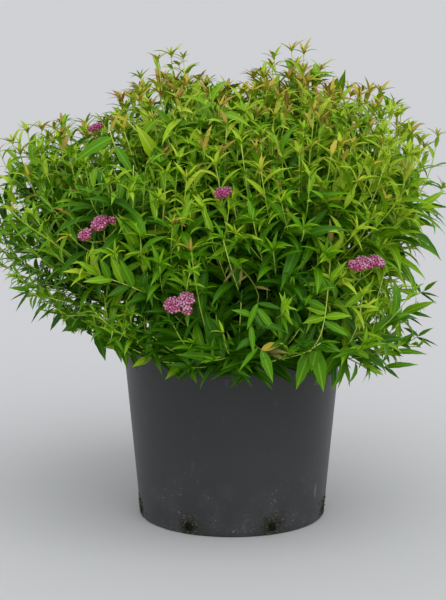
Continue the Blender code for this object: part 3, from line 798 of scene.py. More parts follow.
# %% [markdown]
# ## One leaf
#
# The leaf is a narrow blade up to about 70 mm long, widest a little below its middle and pointed at
# both ends, with a pale midrib in a shallow fold. Its fine teeth are too small to show, so its edge is
# only a little uneven. It arches away from its shoot. A grid of three columns gives it: the two outer
# columns are the blade's halves and the narrow middle one is the rib, which can then have its own
# plain colour. A few blanks that differ in arch, fold and twist are enough, because every copy is
# turned and sized on its own. Leaves deep in the crown are hardly seen, so they are copies of plainer
# blanks, and the youngest leaves of plainer ones still. Flat blanks serve the marked sprigs.

# %% Leaf blanks
LEAF_LENGTH = 0.074
WIDTH_PER_LENGTH = 0.195
FOOT_POWER, POINT_POWER = 0.80, 1.30
RIB_HALF = 0.011
PETIOLE_HALF = 0.014
UNEVENNESS = 0.06


def half_width(share):
    """Half the blade's width at a share of its length, for a blade of length 1."""
    widest = FOOT_POWER / (FOOT_POWER + POINT_POWER)
    shape = (share / widest) ** FOOT_POWER * ((1 - share) / (1 - widest)) ** POINT_POWER
    return shape * WIDTH_PER_LENGTH / 2


def leaf_blank(columns, rows, arch, fold, twist):
    """Points, faces and rib flags of a blade of length 1 along Y, with its upper side along Z."""
    bm = bmesh.new()
    bmesh.ops.create_grid(bm, x_segments=columns, y_segments=rows, size=0.5)
    for face in bm.faces:
        is_rib = columns % 2 == 1 and abs(face.calc_center_median().x) < TINY
        face.material_index = int(is_rib)
    for vertex in bm.verts:
        share = vertex.co.y + 0.5
        side = vertex.co.x * 2
        row = round(share * rows)
        half = max(half_width(share), PETIOLE_HALF)
        half *= 1.0 + (UNEVENNESS if row % 2 else -UNEVENNESS)
        if abs(side) < TINY or row == rows:
            beside = 0.0
        elif abs(side) > 1 - TINY:
            beside = math.copysign(half, side)
        else:
            beside = math.copysign(min(RIB_HALF, half / 2), side)
        turn = arch * share
        roll = twist * share
        lift = fold * abs(beside)
        out = Vector((math.cos(roll), 0.0, math.sin(roll))) * beside
        up = Vector((-math.sin(roll), 0.0, math.cos(roll))) * lift
        centre = Vector((0.0, math.sin(turn) / arch, (math.cos(turn) - 1) / arch))
        vertex.co = centre + Matrix.Rotation(-turn, 3, "X") @ (out + up)
    bmesh.ops.remove_doubles(bm, verts=bm.verts, dist=TINY)
    points = np.array([vertex.co for vertex in bm.verts])
    faces = [[vertex.index for vertex in face.verts] for face in bm.faces]
    ribs = np.array([face.material_index for face in bm.faces])
    bm.free()
    return points, faces, ribs


print("half width of a blade at its middle", round(half_width(0.5), 3))

# %% Make the leaf blanks
FOLD_DRAWS = (0.4, 1.0)
BLANK_KINDS = {
    "full": {"count": 10, "columns": 3, "rows": 7, "arch": (0.70, 1.45), "fold": 0.45, "twist": 0.35},
    "flat": {"count": 3, "columns": 3, "rows": 7, "arch": (0.42, 0.54), "fold": 0.35, "twist": 0.15},
    "plain": {"count": 5, "columns": 2, "rows": 5, "arch": (0.60, 1.30), "fold": 0.35, "twist": 0.30},
    "young": {"count": 4, "columns": 2, "rows": 4, "arch": (0.50, 1.30), "fold": 0.55, "twist": 0.20},
}

blank_random = random.Random(5)
leaf_blanks = []
blanks_of = {}
for kind, make in BLANK_KINDS.items():
    blanks_of[kind] = range(len(leaf_blanks), len(leaf_blanks) + make["count"])
    for _ in blanks_of[kind]:
        arch = blank_random.uniform(*make["arch"])
        fold = make["fold"] * blank_random.uniform(*FOLD_DRAWS)
        twist = make["twist"] * blank_random.uniform(-1.0, 1.0)
        leaf_blanks.append(leaf_blank(make["columns"], make["rows"], arch, fold, twist))
print("leaf blanks", len(leaf_blanks), "faces", sorted({len(faces) for _, faces, _ in leaf_blanks}))

# %% [markdown]
# ### Leaf colours
#
# A spirea leaf is thin and soft with a faint satin sheen. Its greens run from deep green inside the
# crown to yellow-green outside, and the newest at the shoots' tips are flushed with bronze. The greens
# are partly the leaves' own and partly painted shade and light: the darkest paint the shade deep in
# the crown, the palest paint light on its top and lit sides. Each tint is one plain colour, dealt out
# by shoot, so that the pattern of tints lies where the plant has it. The rib is a paler green of the
# same kind.

# %% Leaf materials
# The darker greens (gloom, shade, deep) are partly painted shade, the paler ones (bright, lime) partly
# painted light.
LEAF_TINTS = {
    "gloom": ("leaf_inner_painted_shade_green", "#143C02", "#244E0A"),
    "shade": ("leaf_shade_green", "#245602", "#3A6C12"),
    "deep": ("leaf_deep_green", "#366B00", "#508412"),
    "mid": ("leaf_mid_green", "#528C00", "#74A81E"),
    "fresh": ("leaf_fresh_green", "#76AA08", "#9AC23C"),
    "bright": ("leaf_yellow_green", "#9ABF18", "#B4D24E"),
    "lime": ("leaf_pale_lime", "#AEC82C", "#C0D45A"),
    "gold": ("young_leaf_gold", "#C0B03E", "#CCC062"),
    "bronze": ("young_leaf_bronze", "#AE9040", "#BCA45C"),
    "russet": ("young_leaf_russet", "#A07A40", "#AE8C54"),
    "withered": ("withered_leaf_brown", "#767638", "#8A864C"),
}
LEAF_FINISH = {"roughness": 0.46, "Specular_IOR_Level": 0.17}
leaf_materials = []
tint_slots = {}
for tint, (material_name, blade, rib) in LEAF_TINTS.items():
    tint_slots[tint] = len(leaf_materials)
    leaf_materials.append(new_material(material_name, blade, **LEAF_FINISH)[0])
    leaf_materials.append(new_material(f"{material_name}_rib", rib, **LEAF_FINISH)[0])
print("leaf materials", len(leaf_materials))

# %% [markdown]
# ## Shoots
#
# Over a thousand shoots fill the crown in five shells, one of them only at its crest. Their ends have
# evenly spread headings, which come from the golden angle. That angle also sets the turn from one leaf
# to the next along a shoot. A shoot leaves its bough outwards and then turns up to the light, less so
# low on the crown, where shoots arch out and hang. Some fork into a short twig or two. A shoot is bare
# at its foot, where it is shaded, and carries its largest leaves half way up. They stand wide open
# there, and close towards the tip, which ends in a small rosette.

# %% Shells of shoots
SHELLS = {
    "outer": {"tips": 620, "short": 0.012, "spread": 0.014, "leafy": 0.180, "twigs": (0, 0, 0, 1, 1)},
    "crest": {"tips": 155, "short": 0.026, "spread": 0.014, "leafy": 0.130, "twigs": (0, 0, 1)},
    "middle": {"tips": 420, "short": 0.052, "spread": 0.018, "leafy": 0.145, "twigs": (0, 0, 1)},
    "inner": {"tips": 280, "short": 0.098, "spread": 0.018, "leafy": 0.110, "twigs": (0,)},
    "core": {"tips": 220, "short": 0.145, "spread": 0.020, "leafy": 0.090, "twigs": (0,)},
}
LIT_SHELLS = ("outer", "crest", "middle")
FULL_REACH = 0.38
CROWD_POWER = 1.5
SHOOT_LOWEST = math.radians(-14.0)
CREST_LOWEST = math.radians(44.0)
TURN_PER_LEAF = math.radians(137.5)


def spread_headings(count, shell, draw):
    """Evenly spread headings over the crown, by the golden angle, fewer where the crown is near."""
    lowest = math.sin(CREST_LOWEST if shell == "crest" else SHOOT_LOWEST)
    for number in range(count):
        height = lowest + (1.0 - lowest) * (number + 0.5) / count
        heading = heading_of(number * TURN_PER_LEAF, math.asin(height))
        if draw.random() < (reach(heading) / FULL_REACH) ** CROWD_POWER:
            yield heading


print("shoots to try", sum(sizes["tips"] for sizes in SHELLS.values()))

# %% Shoot paths
SHOOT_SPRING = math.radians(27.0)
SHOOT_FOOT_SHARES = (0.28, 0.94)
SHOOT_SWEEP = 0.16
SHOOT_SAG = 0.12
UPRIGHT_FROM, UPRIGHT_TO = -0.05, 0.40
PULL_OUT, UPRIGHT_OUT = 0.42, 0.20
PULL_UP, UPRIGHT_DELAY = 0.42, 0.30
SHOOT_POINTS = 9


def along_path(path, share):
    """Point and heading at a share of the way along a path of evenly spaced points."""
    spot = share * (len(path) - 1)
    step = min(int(spot), len(path) - 2)
    heading = path[step + 1] - path[step]
    return path[step] + heading * (spot - step), heading.normalized()


def shoot_path(bough, target):
    """A shoot leaves its bough low enough to part from it at its own angle, goes out, then up."""
    bough_run = bough[-1] - bough[0]
    bough_heading = bough_run.normalized()
    offset = target - bough[0]
    beside = offset - bough_heading * offset.dot(bough_heading)
    height = offset.dot(bough_heading) - beside.length / math.tan(SHOOT_SPRING)
    lowest, highest = SHOOT_FOOT_SHARES
    start, heading = along_path(bough, min(highest, max(lowest, height / bough_run.length)))
    run = target - start
    level = Vector((run.x, run.y, 0.0))
    rise = (target - STOOL_MIDDLE).normalized().z
    upright = min(1.0, max(0.0, (rise - UPRIGHT_FROM) / (UPRIGHT_TO - UPRIGHT_FROM)))
    control = start + heading * (run.length * SHOOT_SWEEP) + level * (PULL_OUT + UPRIGHT_OUT * upright)
    control += UP * (run.z * (PULL_UP - UPRIGHT_DELAY * upright) - run.length * SHOOT_SAG * upright)
    return bowed(start, control, target, SHOOT_POINTS)


def nearest_mass(target, ring=""):
    """The mass, in one ring of the crown or in any, whose heading is nearest to a target's."""
    heading = (target - STOOL_MIDDLE).normalized()
    names = [name for name in masses if name.startswith(ring)]
    return max(names, key=lambda name: masses[name]["heading"].dot(heading))


print("mass nearest to the back", nearest_mass(STOOL_MIDDLE + Vector((0.0, 1.0, 0.0))))

# %% [markdown]
# ### The crown's edge
#
# Leaves keep off the pot, and above the crown's lower edge, which rises to the left. The outline has
# lumps and hollows of its own: each is a place across and up, a radius, and how far it swells or, below
# zero, sinks. Low on its two sides the crown is thin. Fewer shoots grow there, and their leaves are
# finer, so that the sky shows through.

# %% Clear of the pot and above the lower edge
POT_CLEARANCE = 0.0025
LOWEST_LEAF = 0.208
LEFT_SLOPE, LEFT_FOOT = 0.46, 0.040
FAR_SLOPE, FAR_FOOT = 0.7, 0.255
SIDE_DROP, FRONT_DEPTH = 0.226, 0.200


def is_clear_of_pot(point):
    """Whether a point keeps its distance from the pot, and stays out of it."""
    outside = math.hypot(point.x, point.y) > POT_TOP_RADIUS + RIM_PROUD + POT_CLEARANCE
    return outside or point.z > POT_HEIGHT + POT_CLEARANCE


def is_above_skirt(point, margin=0.0):
    """Whether a point is above the crown's lower edge, highest in front, behind and to the left."""
    lowest = LOWEST_LEAF - SIDE_DROP * max(0.0, FRONT_DEPTH - abs(point.y))
    lowest += LEFT_SLOPE * max(0.0, -point.x - LEFT_FOOT)
    lowest += FAR_SLOPE * max(0.0, -point.x - FAR_FOOT)
    return point.z > lowest + margin


print("lowest leaf at the right side", round(LOWEST_LEAF - SIDE_DROP * FRONT_DEPTH, 4))

# %% Lumps and hollows
LUMPS = (
    (-0.275, 0.485, 0.055, 0.018),
    (-0.290, 0.352, 0.060, 0.044),
    (-0.185, 0.540, 0.040, -0.018),
    (-0.050, 0.590, 0.035, -0.009),
    (-0.005, 0.585, 0.050, -0.023),
    (0.085, 0.590, 0.040, 0.012),
    (0.150, 0.560, 0.035, -0.012),
    (0.215, 0.515, 0.046, 0.017),
    (0.290, 0.405, 0.085, -0.080),
    (0.285, 0.300, 0.070, -0.040),
    (0.262, 0.235, 0.048, -0.030),
)


def lump(point):
    """How far the crown swells at a point of its outline, or sinks where that is negative."""
    swell = 0.0
    for beside, height, radius, amount in LUMPS:
        distance = math.hypot(point.x - beside, point.z - height) / radius
        swell += amount * math.exp(-distance * distance)
    return swell


print("lumps and hollows", len(LUMPS), "swell at the top", round(lump(UP * cad_high.z), 4))

# %% Heights in the crown
CROWN_FOOT = POT_HEIGHT * 0.7
CREST_SHARE, HIGH_SHARE, LOW_SHARE = 0.82, 0.66, 0.34


def height_share(point):
    """How high a point is in the crown, from 0 at its foot to 1 at its top."""
    return (point.z - CROWN_FOOT) / (cad_high.z - CROWN_FOOT)


def level_of(point):
    """Whether a point is at the crown's crest, or high, level or low in it."""
    share = height_share(point)
    if share > HIGH_SHARE:
        return "crest" if share > CREST_SHARE else "high"
    return "low" if share < LOW_SHARE else "level"


print("level at the rim", level_of(UP * POT_HEIGHT))

# %% Thin sides
SIDE_FROM, SIDE_TO = 0.09, 0.17
OPENNESS = {"crest": 0.0, "high": 0.05, "level": 0.25, "low": 0.38}
OUTER_THINNING, INNER_THINNING = 0.55, 1.9
SIDE_THINNING = {-1: 0.85, 1: 1.75}
FINE_GROWTH = {-1: 0.50, 1: 0.74}
FINE_FROM, FINE_TO = 0.56, 0.40


def sideness(point):
    """How far out on one of the crown's two thin sides a point is, from 0 to 1."""
    return min(1.0, max(0.0, (abs(point.x) - SIDE_FROM) / (SIDE_TO - SIDE_FROM)))


def side_of(point):
    """Which side of the crown a point is on: -1 on the left and 1 on the right."""
    return -1 if point.x < 0 else 1


def is_left_open(point, shell, draw):
    """Whether a shoot is left out, as more are low on the crown's two thin sides."""
    thinning = OUTER_THINNING if shell == "outer" else INNER_THINNING
    thinning *= SIDE_THINNING[side_of(point)]
    return draw.random() < OPENNESS[level_of(point)] * thinning * sideness(point)


def growth_at(point):
    """How large the leaves grow where a shoot ends: finer low on the two thin sides."""
    lowness = min(1.0, max(0.0, (FINE_FROM - height_share(point)) / (FINE_FROM - FINE_TO)))
    return 1.0 - (1.0 - FINE_GROWTH[side_of(point)]) * lowness * sideness(point)


print("growth low on the left", growth_at(cad_low), "and in the middle", growth_at(Vector()))

# %% [markdown]
# ### Tints by shoot
#
# Light falls off from the outside in and from the top down, and the tints paint that shade and light
# into the leaves. So a shoot draws the tint of its upper leaves from a short list that depends on its
# shell and on how high its tip is, and its lower leaves take darker ones, as painted shade. Bronze tips
# are common in the top third of the crown and rare lower down.

# %% Deal the tints
TINT_ORDER = ["gloom", "shade", "deep", "mid", "fresh", "bright", "lime", "gold"]
# Darker draws in the inner shells paint shade, paler ones at the crest paint light.
TINT_DRAWS = {
    "outer": {"crest": (5, 6, 6, 7), "high": (4, 4, 4, 5), "level": (3, 4, 4, 4), "low": (3, 3, 4, 4)},
    "crest": {"crest": (5, 6, 6), "high": (4, 5), "level": (3,), "low": (3,)},
    "middle": {"crest": (5, 5, 6), "high": (3, 3, 4), "level": (2, 3, 3, 4), "low": (2, 3, 3)},
    "inner": {"crest": (5, 6), "high": (1, 2, 2), "level": (0, 1, 1), "low": (0, 1, 1)},
    "core": {"crest": (4, 5), "high": (0, 1), "level": (0,), "low": (0,)},
}
ROSETTES = {
    "crest": (
        ("gold", "bronze"), ("gold", "bronze", "gold"), ("russet", "gold"), ("gold", "gold", "bronze"),
    ),
    "high": (("gold", "lime"), ("gold", "bronze"), ("bronze", "lime")),
    "level": (("gold", "lime"), ("gold", "bronze")),
    "low": (("lime", "bright"),),
}
BRONZE_ODDS = {"crest": 0.98, "high": 0.72, "level": 0.26, "low": 0.04}
# Painted shade in the hollow middle, painted light on the bright right band and on the low sides.
HOLLOW_TOP, HOLLOW_HALF = 0.58, 0.115
BRIGHT_FROM, BRIGHT_TO, BRIGHT_TOP = 0.100, 0.250, 0.75
LOW_TOP = 0.46
LIT_DARKEST = 2
PALEST = {"crest": 7, "high": 6, "level": 6, "low": 4}


def tint_step(point, shell):
    """How many tints paler a shoot is by its place: painted shade in the hollow middle, painted light at the
    sides.
    """
    share = height_share(point)
    if share < HOLLOW_TOP and abs(point.x) < HOLLOW_HALF:
        return -1
    is_low_side = share < LOW_TOP and abs(point.x) > BRIGHT_FROM
    is_bright = is_low_side or BRIGHT_FROM < point.x < BRIGHT_TO and share < BRIGHT_TOP
    if shell in ("inner", "core"):
        return int(share < HIGH_SHARE) + int(is_bright) + int(is_low_side)
    return int(is_bright) + int(shell == "middle" and share < HIGH_SHARE)


def deal_tints(shell, tip, draw):
    """Tints of a shoot's lowest, lower and upper leaves, and a list of them for its rosette."""
    level = level_of(tip)
    upper = min(PALEST[level], max(0, draw.choice(TINT_DRAWS[shell][level]) + tint_step(tip, shell)))
    paler = min(upper + 1, PALEST[level])
    rosette = (TINT_ORDER[paler if shell in LIT_SHELLS else upper],)
    if shell in ("outer", "crest") and draw.random() < BRONZE_ODDS[level]:
        rosette = draw.choice(ROSETTES[level])
        if level != "crest":
            rosette += (TINT_ORDER[upper], TINT_ORDER[paler])
    darkest = LIT_DARKEST if shell in LIT_SHELLS else 0
    lowest = max(darkest, upper - (1 if level == "crest" else 2))
    return TINT_ORDER[lowest], TINT_ORDER[max(darkest, upper - 1)], TINT_ORDER[upper], rosette


print("tints", len(TINT_ORDER), "step low in the middle", tint_step(UP * POT_HEIGHT, "outer"))

# %% [markdown]
# ## Where the flower heads are
#
# Five flat pink heads show on the front of the crown, and three more are on its back. Their places
# are settled before the leaves, because the leaves stand aside from a head to let it have the light.
# The marked sprigs, which come later, are kept open in the same way. A head's lobes are each a place
# across and back on it, and a radius. An open spot is a centre, the side it faces and a radius, and
# side -1 is the front.

# %% Flower head places
HEAD_RADIUS = 0.022
HEAD_SHARE = 0.965
HEADS = [
    {"at": (-0.170, 0.4205), "side": -1, "tints": "mixed", "tilt": 0.8,
     "lobes": ((-0.0080, -0.0115, 0.0082), (0.0036, 0.0070, 0.0110), (0.0190, 0.0130, 0.0042))},
    {"at": (-0.013, 0.467), "side": -1, "tints": "deep", "tilt": 0.7,
     "lobes": ((-0.002, -0.001, 0.0074), (0.004, 0.002, 0.0066))},
    {"at": (-0.065, 0.334), "side": -1, "tints": "pale", "tilt": 0.7,
     "lobes": ((-0.008, -0.002, 0.0100), (0.007, 0.005, 0.0098), (0.010, -0.008, 0.0056))},
    {"at": (0.164, 0.379), "side": -1, "tints": "mixed", "tilt": 1.6,
     "lobes": ((-0.019, -0.002, 0.0090), (-0.003, 0.001, 0.0110), (0.016, 0.001, 0.0100))},
    {"at": (-0.176, 0.528), "side": -1, "tints": "deep", "tilt": 0.8, "lobes": ((0.0, 0.0, 0.0090),)},
    {"at": (0.176, 0.402), "side": 1, "tints": "mixed", "tilt": 0.9,
     "lobes": ((-0.012, 0.0, 0.0110), (0.010, 0.004, 0.0100))},
    {"at": (-0.090, 0.320), "side": 1, "tints": "pale", "tilt": 0.8,
     "lobes": ((-0.010, 0.002, 0.0100), (0.008, -0.002, 0.0110))},
    {"at": (0.020, 0.500), "side": 1, "tints": "deep", "tilt": 0.8, "lobes": ((0.0, 0.0, 0.0120),)},
]
OPEN_SPOTS = [
    (Vector((0.108, -0.235, 0.310)), -1, 0.030),
    (Vector((0.094, -0.205, 0.240)), -1, 0.022),
    (Vector((-0.136, -0.225, 0.354)), -1, 0.028),
    (Vector((0.024, -0.240, 0.318)), -1, 0.036),
    (Vector((0.004, -0.240, 0.366)), -1, 0.024),
    (Vector((-0.118, -0.130, 0.508)), -1, 0.024),
    (Vector((-0.165, -0.150, 0.500)), -1, 0.020),
    (Vector((-0.192, -0.185, 0.386)), -1, 0.014),
    (Vector((-0.222, -0.185, 0.410)), -1, 0.014),
    (Vector((-0.250, -0.185, 0.432)), -1, 0.014),
]
for head in HEADS:
    beside, height = head["at"]
    start = Vector((beside, 0.0, height))
    outwards = Vector((0.0, head["side"], 0.0))
    on_outline = start + outwards * outline_distance(start, outwards)
    head["centre"] = STOOL_MIDDLE.lerp(on_outline, HEAD_SHARE)
    head["mass"] = nearest_mass(head["centre"])
    OPEN_SPOTS.append((head["centre"], head["side"], HEAD_RADIUS))
print("flower heads", len(HEADS))

# %% [markdown]
# ### Setting the leaves
#
# A leaf leaves its shoot at an angle, and turns its upper face along the shoot and to the sky. Low
# leaves hang. Where a leaf would cut into the pot, cover a flower head or reach past the crown's
# outline, it is swung aside, then made smaller, and left out if neither helps.

# %% Leaf frames
LEAF_TIP, LEAF_MIDDLE = Vector((0.0, 0.77, -0.52)), Vector((0.0, 0.47, -0.15))
OPEN_BEHIND = 0.012
LEAST_SLANT = 0.2


def across(heading, turn):
    """A direction at right angles to a heading, turned round it."""
    side = heading.cross(UP)
    if side.length < TINY:
        side = Vector((1.0, 0.0, 0.0))
    return Matrix.Rotation(turn, 3, heading) @ side.normalized()


def leaf_frame(at, along, facing, length, width=1.0):
    """Where a leaf sits: its length along one direction, its upper side near to facing another."""
    if along.cross(facing).length < LEAST_SLANT:
        facing = facing + across(along, 0.0)
    side = along.cross(facing).normalized()
    normal = side.cross(along)
    axes = Matrix((side * length * width, along * length, normal * length)).transposed()
    return Matrix.Translation(at) @ axes.to_4x4()


def is_in_open_spot(point):
    """Whether a point lies in or before a spot that is kept open, as seen from the side it faces."""
    for centre, side, radius in OPEN_SPOTS:
        offset = point - centre
        if offset.y * side > -OPEN_BEHIND and math.hypot(offset.x, offset.z) < radius:
            return True
    return False


def leaf_fits(placing, slack):
    """Whether a leaf's tip and middle are clear of the pot and open spots, and within reach."""
    tip, middle = placing @ LEAF_TIP, placing @ LEAF_MIDDLE
    if outline_value(tip) > slack or is_in_open_spot(tip) or is_in_open_spot(middle):
        return False
    return is_above_skirt(tip) and is_clear_of_pot(tip) and is_clear_of_pot(middle)


print("open spots", len(OPEN_SPOTS))

# %% Set one leaf
TO_LIGHT = 0.7
SWINGS = tuple(math.radians(swing) for swing in (0, 40, -40, 80, -80))
SHRINKS = (1.0, 0.7)
leaf_places = {name: [] for name in masses}


def set_leaf(mass_name, leaf, at, heading, turn, opening, length, droop, slack):
    """Sets one leaf where it fits. A leaf is (blank number, tint, width)."""
    for shrink, swing in itertools.product(SHRINKS, SWINGS):
        out = across(heading, turn + swing)
        along = (heading * math.cos(opening) + out * math.sin(opening) - UP * droop).normalized()
        facing = heading * math.sin(opening) - out * math.cos(opening) + UP * TO_LIGHT
        placing = leaf_frame(at, along, facing, length * shrink, leaf[2])
        if leaf_fits(placing, slack):
            leaf_places[mass_name].append((leaf[0], leaf[1], placing))
            break


print("ways to try for one leaf", len(SWINGS) * len(SHRINKS))

# %% Grow the leaves of a shoot
OUTLINE_SLACK = 1.09
LEAF_SPACING = 0.0126
LEAFY_SHARE = 0.80
LEAST_LEAVES = 3
LAST_LEAF = 0.985
LEAF_OPEN = math.radians(48.0)
LEAF_CLOSED = math.radians(22.0)
CLOSING_POWER = 1.6
OPEN_SPREAD, TURN_SPREAD = 0.16, 0.2
FOOT_SIZE, SIZE_SWELL, SIZE_FALL = 0.74, 0.30, 0.42
SWELL_FROM, SWELL_RATE = 0.1, 1.3
SIZE_DRAWS, ROSETTE_DRAWS = (0.82, 1.12), (0.75, 1.20)
LOWEST_TO, LOWER_TO, YOUNG_FROM = 0.30, 0.62, 0.92
ROSETTE_SIZE, ROSETTE_FALL, ROSETTE_WIDTH = 0.37, 0.20, 0.85
ROSETTE_OPEN_DEGREES, ROSETTE_CLOSING_DEGREES = 42, 34
HEART_FROM = 0.1
DROOPS = {"crest": 0.04, "high": 0.08, "level": 0.05, "low": 0.15}


def size_up(rise):
    """The size of a leaf by how far up the leafy part it sits: largest half way, smallest at the tip."""
    swell = math.sin(math.pi * min(1.0, rise * SWELL_RATE + SWELL_FROM))
    return (FOOT_SIZE + SIZE_SWELL * swell) * (1.0 - SIZE_FALL * rise ** 3)


def tint_up(rise, tints, draw):
    """The tint of a leaf by how far up it sits, with some of the rosette's next to the tip."""
    lowest, lower, upper, rosette = tints
    if rise > YOUNG_FROM:
        return draw.choice(rosette + (upper, upper))
    if rise < LOWEST_TO:
        return lowest
    return lower if rise < LOWER_TO else upper


def leaf_up(mass_name, path, tints, draw, leafy, kind="full", grown=1.0, rosette=5, slack=OUTLINE_SLACK):
    """Sets leaves in a spiral up the outer part of a shoot, and a rosette on its tip."""
    length = path_length(path)
    leafy = min(leafy, length * LEAFY_SHARE)
    count = max(LEAST_LEAVES, round(leafy / (LEAF_SPACING * grown)))
    turn = draw.uniform(0.0, math.tau)
    droop = DROOPS[level_of(path[-1])] * grown
    for number in range(count):
        rise = number / (count - 1)
        at, heading = along_path(path, min(1.0 - leafy / length * (1.0 - rise), LAST_LEAF))
        opening = LEAF_OPEN + (LEAF_CLOSED - LEAF_OPEN) * rise ** CLOSING_POWER
        opening += draw.uniform(-OPEN_SPREAD, OPEN_SPREAD)
        size = size_up(rise) * (grown * draw.uniform(*SIZE_DRAWS))
        tint = tint_up(rise, tints, draw)
        leaf = (draw.choice(blanks_of[kind]), tint, 1.0)
        hang = droop * (1.0 - rise)
        set_leaf(mass_name, leaf, at, heading, turn, opening, LEAF_LENGTH * size, hang, slack)
        turn += TURN_PER_LEAF + draw.uniform(-TURN_SPREAD, TURN_SPREAD)
    at, heading = along_path(path, 1.0)
    for number in range(rosette):
        rise = number / rosette
        tint = draw.choice(tints[3]) if rise >= HEART_FROM else tints[2]
        leaf = (draw.choice(blanks_of["young"]), tint, ROSETTE_WIDTH)
        size = LEAF_LENGTH * grown * (ROSETTE_SIZE - ROSETTE_FALL * rise) * draw.uniform(*ROSETTE_DRAWS)
        opening = math.radians(ROSETTE_OPEN_DEGREES - ROSETTE_CLOSING_DEGREES * rise)
        set_leaf(mass_name, leaf, at, heading, turn, opening, size, 0.0, slack)
        turn += TURN_PER_LEAF


print("leaf size at the foot", round(size_up(0.0), 2), "and at the tip", round(size_up(1.0), 2))

# %% Shoot skins
SHOOT_BARKS = {
    "brown": ("shoot_bark_brown", "#6A5230"),
    "olive": ("shoot_bark_olive", "#6C7A26"),
    "green": ("shoot_skin_green", "#A6C440"),
    "pale": ("shoot_skin_pale_green", "#CCE068"),
}
shoot_materials = [new_material(name, colour, **LEAF_FINISH)[0] for name, colour in SHOOT_BARKS.values()]
BROWN, OLIVE, GREEN, PALE = range(len(SHOOT_BARKS))
SHOOT_RADIUS = 0.0010
SHOOT_TIP_RADIUS = 0.0006
OLDER_SHARE = 0.48
shoot_runs = {name: [] for name in masses}


def add_shoot(name, path, barks, thickness=1.0):
    """Notes the two tubes of a shoot: an older foot and a younger upper part."""
    radii = tapered(SHOOT_RADIUS * thickness, SHOOT_TIP_RADIUS, len(path))
    split_at = max(2, round(len(path) * OLDER_SHARE))
    shoot_runs[name].append((path[:split_at], radii[:split_at], barks[0]))
    shoot_runs[name].append((path[split_at - 1:], radii[split_at - 1:], barks[1]))


print("shoot skins", [material.name for material in shoot_materials])

# %% Twigs and shoot ends
TWIG_SHARES = (0.45, 0.75)
TWIG_LENGTHS = (0.045, 0.085)
TWIG_SPRING = math.radians(34.0)
TWIG_POINTS = 5
TWIG_LIFT = 0.25
TIP_MARGIN, STEM_MARGIN = 0.012, 0.006


def side_twig(path, share, turn, length):
    """A short twig that forks off a shoot."""
    at, heading = along_path(path, share)
    away = heading * math.cos(TWIG_SPRING) + across(heading, turn) * math.sin(TWIG_SPRING)
    tip = at + (away + UP * TWIG_LIFT).normalized() * length
    return bowed(at, at + away * (length / 2), tip, TWIG_POINTS)


def tip_fits(tip, slack):
    """Whether a shoot may end at a point."""
    if outline_value(tip) > slack or is_in_open_spot(tip):
        return False
    return is_clear_of_pot(tip) and is_above_skirt(tip, TIP_MARGIN)


print("longest twig", max(TWIG_LENGTHS))

# %% Grow the shoots
LUMP_SLACK = 0.18
LEAST_LUMP = 0.004
SHOOT_SHORTEST = 0.030
STRONG_ODDS = 0.3
TWIG_GROWTH = 0.85
FINE_LIMIT = 0.70
FINE_TWIGS = (1, 2, 2)
TWIG_FOOT = 1.2
LIT_ROSETTE, DIM_ROSETTE = 6, 2

grow_random = random.Random(11)
twig_count = 0
for shell, sizes in SHELLS.items():
    lit = shell in LIT_SHELLS
    kind = "full" if lit else "plain"
    for heading in spread_headings(sizes["tips"], shell, grow_random):
        edge = STOOL_MIDDLE + heading * reach(heading)
        swell = lump(edge)
        slack = OUTLINE_SLACK + (LUMP_SLACK if swell > LEAST_LUMP else 0.0)
        short = sizes["short"] + grow_random.uniform(-sizes["spread"], sizes["spread"])
        target = edge + heading * (swell - short)
        name = nearest_mass(target)
        path = shoot_path(masses[name]["bough"], target)
        if is_left_open(edge, shell, grow_random) or not tip_fits(target, slack):
            continue
        if (path[-1] - path[0]).length < SHOOT_SHORTEST or not all(map(is_clear_of_pot, path[2:])):
            continue
        if not all(is_above_skirt(point, STEM_MARGIN) for point in path[2:]):
            continue
        tints = deal_tints(shell, target, grow_random)
        is_strong = shell == "outer" and grow_random.random() < STRONG_ODDS
        grown = 1.0 if is_strong else growth_at(edge)
        skin = grow_random.choice((GREEN, GREEN, PALE)) if lit else OLIVE
        add_shoot(name, path, (OLIVE if lit else BROWN, skin))
        leaf_up(
            name, path, tints, grow_random, sizes["leafy"], kind, grown,
            rosette=LIT_ROSETTE if lit else DIM_ROSETTE, slack=slack,
        )
        twigs = FINE_TWIGS if lit and grown < FINE_LIMIT else sizes["twigs"]
        for _ in range(grow_random.choice(twigs)):
            share = grow_random.uniform(*TWIG_SHARES)
            length = grow_random.uniform(*TWIG_LENGTHS)
            twig = side_twig(path, share, grow_random.uniform(0.0, math.tau), length)
            if not tip_fits(twig[-1], slack):
                continue
            twig_count += 1
            radii = tapered(SHOOT_TIP_RADIUS * TWIG_FOOT, SHOOT_TIP_RADIUS, TWIG_POINTS)
            shoot_runs[name].append((twig, radii, skin))
            leaf_up(name, twig, tints, grow_random, length, kind, grown * TWIG_GROWTH, slack=slack)
print("shoots", sum(map(len, shoot_runs.values())), "twigs among them", twig_count)
print("leaves", sum(map(len, leaf_places.values())))

# %% Stems of the masses
STEM_RADIUS = 0.0029
STEM_TIP_RADIUS = 0.0010

for name, mass in masses.items():
    shoot_runs[name].append((mass["stem"], tapered(STEM_RADIUS, STEM_TIP_RADIUS, BOUGH_POINTS), BROWN))
    tints = deal_tints("outer", mass["stem"][-1], grow_random)
    leaf_up(name, mass["stem"], tints, grow_random, SHELLS["outer"]["leafy"])
print("stems", len(masses))

# %% [markdown]
# ### Placed shoots
#
# A few strong shoots, the leaders, stand above the even top of the crown. Fine, open shoots fill its
# thin left flank, and two more reach forward in front. Each has a marked tip and grows to it from a
# bough near by. A leader's last number is how large its leaves grow.

